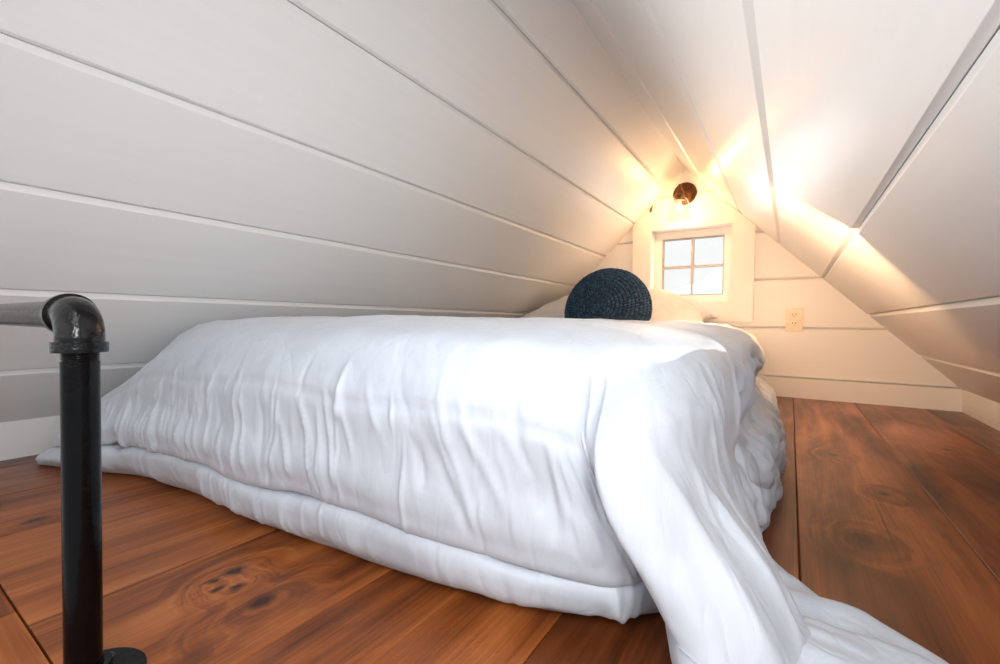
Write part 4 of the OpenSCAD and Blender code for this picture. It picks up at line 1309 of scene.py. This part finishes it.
def lean_and_sit(points):
    """Tips the cushion back against the pillow, and presses its lower side flat where it sits."""
    cos, sin = math.cos(CUSHION_LEAN), math.sin(CUSHION_LEAN)
    x, y, z = points.T
    tipped = np.stack([x, y * cos - z * sin, y * sin + z * cos], axis=1)
    middle = np.array([(cushion_high.x + cushion_low.x) / 2, (cushion_high.y + cushion_low.y) / 2 - 0.02,
                       cushion_high.z - math.hypot(CUSHION_R * sin, CUSHION_T * cos) - 0.004])
    placed = tipped + middle
    seat = FLOOR_Z + CROWN + 0.002
    gap = placed[:, 2] - seat
    pressed = seat + SIT_SOFT * np.exp(np.minimum(gap / SIT_SOFT - 1.0, 0.0))
    placed[:, 2] = np.where(gap < SIT_SOFT, pressed, placed[:, 2])
    return placed


def crochet_yarn():
    s = Shader("crochet_yarn", Roughness=0.92, Sheen_Weight=0.12, Sheen_Roughness=0.6,
               Specular_IOR_Level=0.15)
    board = s.board_number()
    ply = s.noise(s.place, 420.0, 3.0, 0.6)
    tone = s.math("MULTIPLY_ADD", ply, 0.5, s.math("MULTIPLY", board, 0.5))
    s.set("Base Color", s.ramp(tone, (0.25, (0.006, 0.020, 0.042)), (0.55, (0.014, 0.050, 0.105)),
                               (0.80, (0.036, 0.100, 0.185))))
    s.bump(ply, 0.0015, 0.8)
    return s.material


def cushion():
    loops, faces, numbers = stitches()
    body, body_faces = cushion_body()
    points = lean_and_sit(np.concatenate([loops, body]))
    faces += [tuple(len(loops) + i for i in face) for face in body_faces]
    numbers += [0.0] * len(body_faces)
    mesh = bpy.data.meshes.new("crochet_cushion")
    mesh.from_pydata(points.tolist(), [], faces)
    mesh.attributes.new("board", "FLOAT", "FACE").data.foreach_set("value", numbers)
    bm = taken_over(mesh)
    bmesh.ops.recalc_face_normals(bm, faces=bm.faces)
    return make_piece("crochet_cushion", bm, crochet_yarn(), "knitted_wool", "round_cushion", smooth=True)


round_cushion = cushion()
print(round_cushion.name, len(round_cushion.data.polygons), "faces")

# %% [markdown]
# ## Lamp glass
# The frame has the shade as a thin turned shell. Blown glass ends in a thicker fire-polished rim, and the
# bulb inside it is thin glass too, so both are made here as one turned outline each. They cast no shadow,
# so that the light of the lamp passes.

# %% Shade and bulb
shade_low, shade_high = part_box("lamp_shade")
bulb_low, bulb_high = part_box("lamp_bulb")
LAMP_X = (shade_low.x + shade_high.x) / 2
LAMP_Y = (shade_low.y + shade_high.y) / 2


def turned(name, outline, finish, slot, *stands_for, steps=72):
    """Turns a closed outline of (radius, height) about the lamp's axis."""
    bm = bmesh.new()
    rings = []
    for k in range(steps):
        cos, sin = math.cos(2 * math.pi * k / steps), math.sin(2 * math.pi * k / steps)
        rings.append([bm.verts.new((LAMP_X + r * cos, LAMP_Y + r * sin, z)) for r, z in outline])
    n = len(outline)
    for k in range(steps):
        one, two = rings[k], rings[(k + 1) % steps]
        for i in range(n):
            bm.faces.new((one[i], one[(i + 1) % n], two[(i + 1) % n], two[i]))
    bmesh.ops.remove_doubles(bm, verts=bm.verts, dist=0.00005)
    bmesh.ops.recalc_face_normals(bm, faces=bm.faces)
    return make_piece(name, bm, finish, slot, *stands_for, smooth=True)


def blown_shade():
    """A dome that opens downwards, with a bead all round its mouth."""
    top, mouth_z = shade_high.z, shade_low.z
    neck = 0.027
    bead = 0.0018
    mouth = (shade_high.x - shade_low.x) / 2 - 0.0025
    wall = 0.0022
    steps = np.linspace(0.0, 1.0, 26)
    outer = [(neck + (mouth - neck) * math.sin(t * math.pi / 2) ** 0.7, top + (mouth_z - top) * t ** 1.5)
             for t in steps]
    rim = [(mouth + 0.0004 + bead * math.cos(a), mouth_z + bead + bead * math.sin(a))
           for a in np.linspace(0.4, -math.pi - 0.4, 9)]
    inner = [(r - wall, z) for r, z in outer[:-1]][::-1]
    return turned("blown_shade", outer[:-1] + rim + inner, shade_glass, "lamp_glass", "lamp_shade")


def bulb_glass():
    """A ball with a neck, and the same outline again a wall's thickness further in."""
    radius = (bulb_high.x - bulb_low.x) / 2
    middle = bulb_low.z + radius
    neck_r, top = 0.0125, bulb_high.z
    wall = 0.001
    meet = math.asin(neck_r / radius)
    turns = np.linspace(0.02, math.pi - meet, 26)
    arc = [(radius * math.sin(a), middle - radius * math.cos(a)) for a in turns]
    outline = arc + [(neck_r, top - wall), (neck_r - wall, top - wall)]
    for r, z in arc[::-1]:
        rise = math.cos(min(math.pi, max(0.0, (z - bulb_low.z) * 50)))
        outline.append((max(r - wall, 0.0004), z + wall * rise))
    return turned("bulb_glass", outline, shade_glass, "lamp_glass", "lamp_bulb", steps=48)


for piece in (blown_shade(), bulb_glass()):
    piece.visible_shadow = False
    print(piece.name)

# %% [markdown]
# The filament is a fine coil that runs up and down three times round the bulb. It glows, but the light
# that the lamp gives comes from a small warm lamp at the same place.

# %% Filament and light
FILAMENT_R = 0.010
COIL_R = 0.0007
COILS = 60
WIRE_R = 0.0004


def wire(name, points, radius, finish, slot):
    """A round wire through the points, as a mesh."""
    curve = bpy.data.curves.new(name, "CURVE")
    curve.dimensions = "3D"
    curve.bevel_depth = radius
    curve.bevel_resolution = 3
    path = curve.splines.new("POLY")
    path.points.add(len(points) - 1)
    for point, place in zip(path.points, points):
        point.co = (*place, 1.0)
    holder = bpy.data.objects.new(name, curve)
    mesh = bpy.data.meshes.new_from_object(holder)
    bpy.data.objects.remove(holder)
    return make_piece(name, taken_over(mesh), finish, slot, smooth=True)


def glowing_wire():
    s = Shader("glowing_wire", Roughness=0.5)
    heat = s.noise(s.place, 300.0, 1.0, 0.5)
    s.set("Base Color", s.ramp(heat, (0.3, (0.9, 0.5, 0.2)), (0.7, (1.0, 0.65, 0.3))))
    s.set("Emission Color", s.ramp(heat, (0.3, (1.0, 0.62, 0.26)), (0.7, (1.0, 0.72, 0.36))))
    s.out.inputs["Emission Strength"].default_value = 12.0
    return s.material


def filament():
    middle = bulb_low.z + (bulb_high.x - bulb_low.x) / 2
    points = []
    for t in np.arange(241) / 240:
        swing = 0.012 * math.cos(2 * math.pi * 3 * t)
        coil = 2 * math.pi * COILS * t
        around = 2 * math.pi * t
        points.append((LAMP_X + FILAMENT_R * math.cos(around) + COIL_R * math.cos(coil),
                       LAMP_Y + FILAMENT_R * math.sin(around) + COIL_R * math.sin(coil), middle + swing))
    return wire("filament", points, WIRE_R, glowing_wire(), "bulb_glass")


print(filament().name)
bulb_middle = (LAMP_X, LAMP_Y, bulb_low.z + 0.026)
glow = lamp("glow", "POINT", bulb_middle, (LAMP_X, LAMP_Y, 0.0), 3.2, (1.0, 0.52, 0.20),
            shadow_soft_size=0.02)
print(glow.name)

# %% [markdown]
# ## Window bars
# The sash has four lites. Its bars are thin strips with eased edges on both sides of the pane, and a bead
# holds the pane at the edge of the sash. They have a stepped moulding in a real shop; at this size eased
# strips show the same lines.

# %% Muntins and beads
glass_low, glass_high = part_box("window_glass")
MUNTIN_W = 0.014
MUNTIN_D = 0.008
BEAD = 0.007
REBATE = 0.008


def block(boards, x0, x1, y0, y1, z0, z1):
    boards.prism([(x0, y0, z0), (x1, y0, z0), (x1, y0, z1), (x0, y0, z1)],
                 [(x0, y1, z0), (x1, y1, z0), (x1, y1, z1), (x0, y1, z1)])


def window_bars():
    bars = Boards()
    x0, x1 = glass_low.x + REBATE, glass_high.x - REBATE
    z0, z1 = glass_low.z + REBATE, glass_high.z - REBATE
    mid_x, mid_z = (x0 + x1) / 2, (z0 + z1) / 2
    for y0, y1 in ((glass_low.y - MUNTIN_D, glass_low.y), (glass_high.y, glass_high.y + MUNTIN_D)):
        block(bars, mid_x - MUNTIN_W / 2, mid_x + MUNTIN_W / 2, y0, y1, z0, z1)
        for low, high in ((x0, mid_x - MUNTIN_W / 2), (mid_x + MUNTIN_W / 2, x1)):
            block(bars, low, high, y0, y1, mid_z - MUNTIN_W / 2, mid_z + MUNTIN_W / 2)
            block(bars, low, high, y0, y1, z0, z0 + BEAD)
            block(bars, low, high, y0, y1, z1 - BEAD, z1)
        for low, high in ((x0, x0 + BEAD), (x1 - BEAD, x1)):
            block(bars, low, high, y0, y1, z0 + BEAD, z1 - BEAD)
    # The bars' grey is painted shade on white-painted bars.
    return bars.piece("window_bars", shaded_bar_paint, "white_paint", edge=0.0012)


print(window_bars().name)

# %% [markdown]
# ## Threads and screws
# Iron pipe is screwed into its fittings, and a few turns of thread always stay in view beside them.

# %% Pipe threads
pipe_low, pipe_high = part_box("rail_pipe")
post_low, post_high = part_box("rail_posts")
flange_low, flange_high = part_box("rail_flanges")
PIPE_R = (pipe_high.z - pipe_low.z) / 2
THREAD_PITCH = 0.0019
THREAD_STEPS = 32
THREAD_SHOWN = 0.007


def screw_thread(bm, start, axis, length, radius):
    """A helical ridge round an axis, as a strip with a V section."""
    axis = Vector(axis)
    side = axis.orthogonal().normalized()
    third = axis.cross(side)
    turns = length / THREAD_PITCH
    steps = int(turns * THREAD_STEPS)
    rows = []
    for k in range(steps + 1):
        a = 2 * math.pi * turns * k / steps
        ray = side * math.cos(a) + third * math.sin(a)
        middle = Vector(start) + axis * (length * k / steps)
        rows.append([bm.verts.new(middle + ray * (radius + rise) + axis * (THREAD_PITCH * off))
                     for off, rise in ((-0.48, -0.0011), (0.0, 0.0001), (0.48, -0.0011))])
    for one, two in zip(rows, rows[1:]):
        for i in (0, 1):
            bm.faces.new((one[i], one[i + 1], two[i + 1], two[i]))


def threads():
    bm = bmesh.new()
    rail_y, rail_z = (pipe_low.y + pipe_high.y) / 2, (pipe_low.z + pipe_high.z) / 2
    for x, way in ((pipe_low.x, 1), (pipe_high.x, -1)):
        screw_thread(bm, (x, rail_y, rail_z), (way, 0, 0), THREAD_SHOWN, PIPE_R)
    for x in (post_low.x + PIPE_R, post_high.x - PIPE_R):
        screw_thread(bm, (x, rail_y, post_high.z), (0, 0, -1), THREAD_SHOWN, PIPE_R)
        screw_thread(bm, (x, rail_y, post_low.z), (0, 0, 1), 0.003, PIPE_R + 0.0006)
    return make_piece("pipe_threads", bm, iron, "black_iron", smooth=True)


print(threads().name)

# %% [markdown]
# Each floor flange is held by four screws with domed heads. The outlet's cover has one screw in its
# middle, and thin dark pads at the bottom of its slots paint the shade inside them.

# %% Screws and outlet slots
HEAD_STEPS = 32
HEAD_RINGS = 8


def steel():
    s = Shader("screw_steel", Metallic=0.9)
    wear = s.noise(s.place, 260.0, 3.0, 0.6)
    s.set("Base Color", s.ramp(wear, (0.3, (0.05, 0.05, 0.052)), (0.7, (0.12, 0.12, 0.125))))
    s.set("Roughness", s.span(wear, 0.3, 0.7, 0.28, 0.45))
    return s.material


def domed_screw(bm, place, axis, radius, rise, turn):
    """A domed head with a cross recess: rings of a ball's cap, pushed in along two narrow arms."""
    axis = Vector(axis)
    side = axis.orthogonal().normalized()
    third = axis.cross(side)
    rows = []
    for k in range(HEAD_RINGS + 1):
        r = radius * k / HEAD_RINGS
        row = []
        for j in range(HEAD_STEPS if k else 1):
            a = 2 * math.pi * j / HEAD_STEPS
            x, y = r * math.cos(a - turn), r * math.sin(a - turn)
            arm = min(abs(x), abs(y)) < radius * 0.13 and r < radius * 0.62
            height = rise * math.sqrt(max(0.0, 1.0 - (k / HEAD_RINGS) ** 2)) - (rise * 0.55 if arm else 0.0)
            ray = side * math.cos(a) + third * math.sin(a)
            row.append(bm.verts.new(Vector(place) + axis * height + ray * r))
        rows.append(row)
    for j in range(HEAD_STEPS):
        k = (j + 1) % HEAD_STEPS
        bm.faces.new((rows[0][0], rows[1][j], rows[1][k]))
    for one, two in zip(rows[1:], rows[2:]):
        for j in range(HEAD_STEPS):
            k = (j + 1) % HEAD_STEPS
            bm.faces.new((one[j], two[j], two[k], one[k]))


def screws():
    bm = bmesh.new()
    flange_r = (flange_high.y - flange_low.y) / 2
    rail_y = (flange_low.y + flange_high.y) / 2
    circle_r = flange_r * 0.74
    for x in (flange_low.x + flange_r, flange_high.x - flange_r):
        for k in range(4):
            a = math.radians(45 + 90 * k)
            place = (x + circle_r * math.cos(a), rail_y + circle_r * math.sin(a), FLOOR_Z + 0.006)
            domed_screw(bm, place, (0, 0, 1), 0.0055, 0.0026, 0.4 * k)
    bmesh.ops.recalc_face_normals(bm, faces=bm.faces)
    return make_piece("flange_screws", bm, steel(), "black_iron", smooth=True)


def cover_screw():
    bm = bmesh.new()
    low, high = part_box("outlet")
    place = ((low.x + high.x) / 2, low.y + 0.002, (low.z + high.z) / 2)
    domed_screw(bm, place, (0, -1, 0), 0.0036, 0.0014, 0.3)
    bmesh.ops.recalc_face_normals(bm, faces=bm.faces)
    return make_piece("cover_screw", bm, plastic, "cream_plastic", smooth=True)


# Near-black for the outlet's slots: painted shade for their dark depth.
def painted_slot_shade():
    s = Shader("painted_slot_shade", Roughness=0.5, Specular_IOR_Level=0.3)
    cloud = s.noise(s.place, 80.0, 2.0, 0.5)
    s.set("Base Color", s.ramp(cloud, (0.3, (0.020, 0.014, 0.010)), (0.7, (0.035, 0.025, 0.018))))
    return s.material


def outlet_slots():
    """Painted shade for the slots' depth, as thin dark pads at their bottom."""
    half = 0.0012
    pads = Boards()
    low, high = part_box("outlet")
    mid_x, mid_z = (low.x + high.x) / 2, (low.z + high.z) / 2
    y0, y1 = low.y + 0.0028, low.y + 0.0040
    for face_z in (mid_z - 0.020, mid_z + 0.020):
        for x in (mid_x - 0.0065, mid_x + 0.0065):
            block(pads, x - half, x + half, y0, y1, face_z, face_z + 0.008)
        block(pads, mid_x - 0.0018, mid_x + 0.0018, y0, y1, face_z - 0.0078, face_z - 0.0042)
    return pads.piece("outlet_slots", painted_slot_shade(), "cream_plastic")


print(screws().name, cover_screw().name, outlet_slots().name)

# %% [markdown]
# ## Mattress
# The comforter hides the mattress, but its cover still gets a quilted finish: a diagonal stitch pattern
# that is pressed in between padded fields.

# %% Quilted cover
def quilting():
    """Two crossing rows of soft waves, which leave padded diamonds between the stitches."""
    s = Shader("quilted_cover", Roughness=0.8, Sheen_Weight=0.2, Specular_IOR_Level=0.3)
    bands = []
    for turn in (0.785, -0.785):
        lines = {"Vector": s.stretch((1.0, 1.0, 1.0), (0.0, 0.0, turn)), "Scale": 3.0, "Distortion": 0.4}
        bands.append(s.add("ShaderNodeTexWave", lines).outputs["Fac"])
    field = s.math("MULTIPLY", *bands)
    cloud = s.noise(s.place, 30.0, 3.0, 0.5)
    s.set("Base Color", s.ramp(cloud, (0.3, (0.66, 0.66, 0.64)), (0.7, (0.74, 0.74, 0.72))))
    s.bump(field, 0.01, 0.7)
    return s.material


nodes["mattress"].data.materials.clear()
nodes["mattress"].data.materials.append(quilting())
print("mattress cover done")
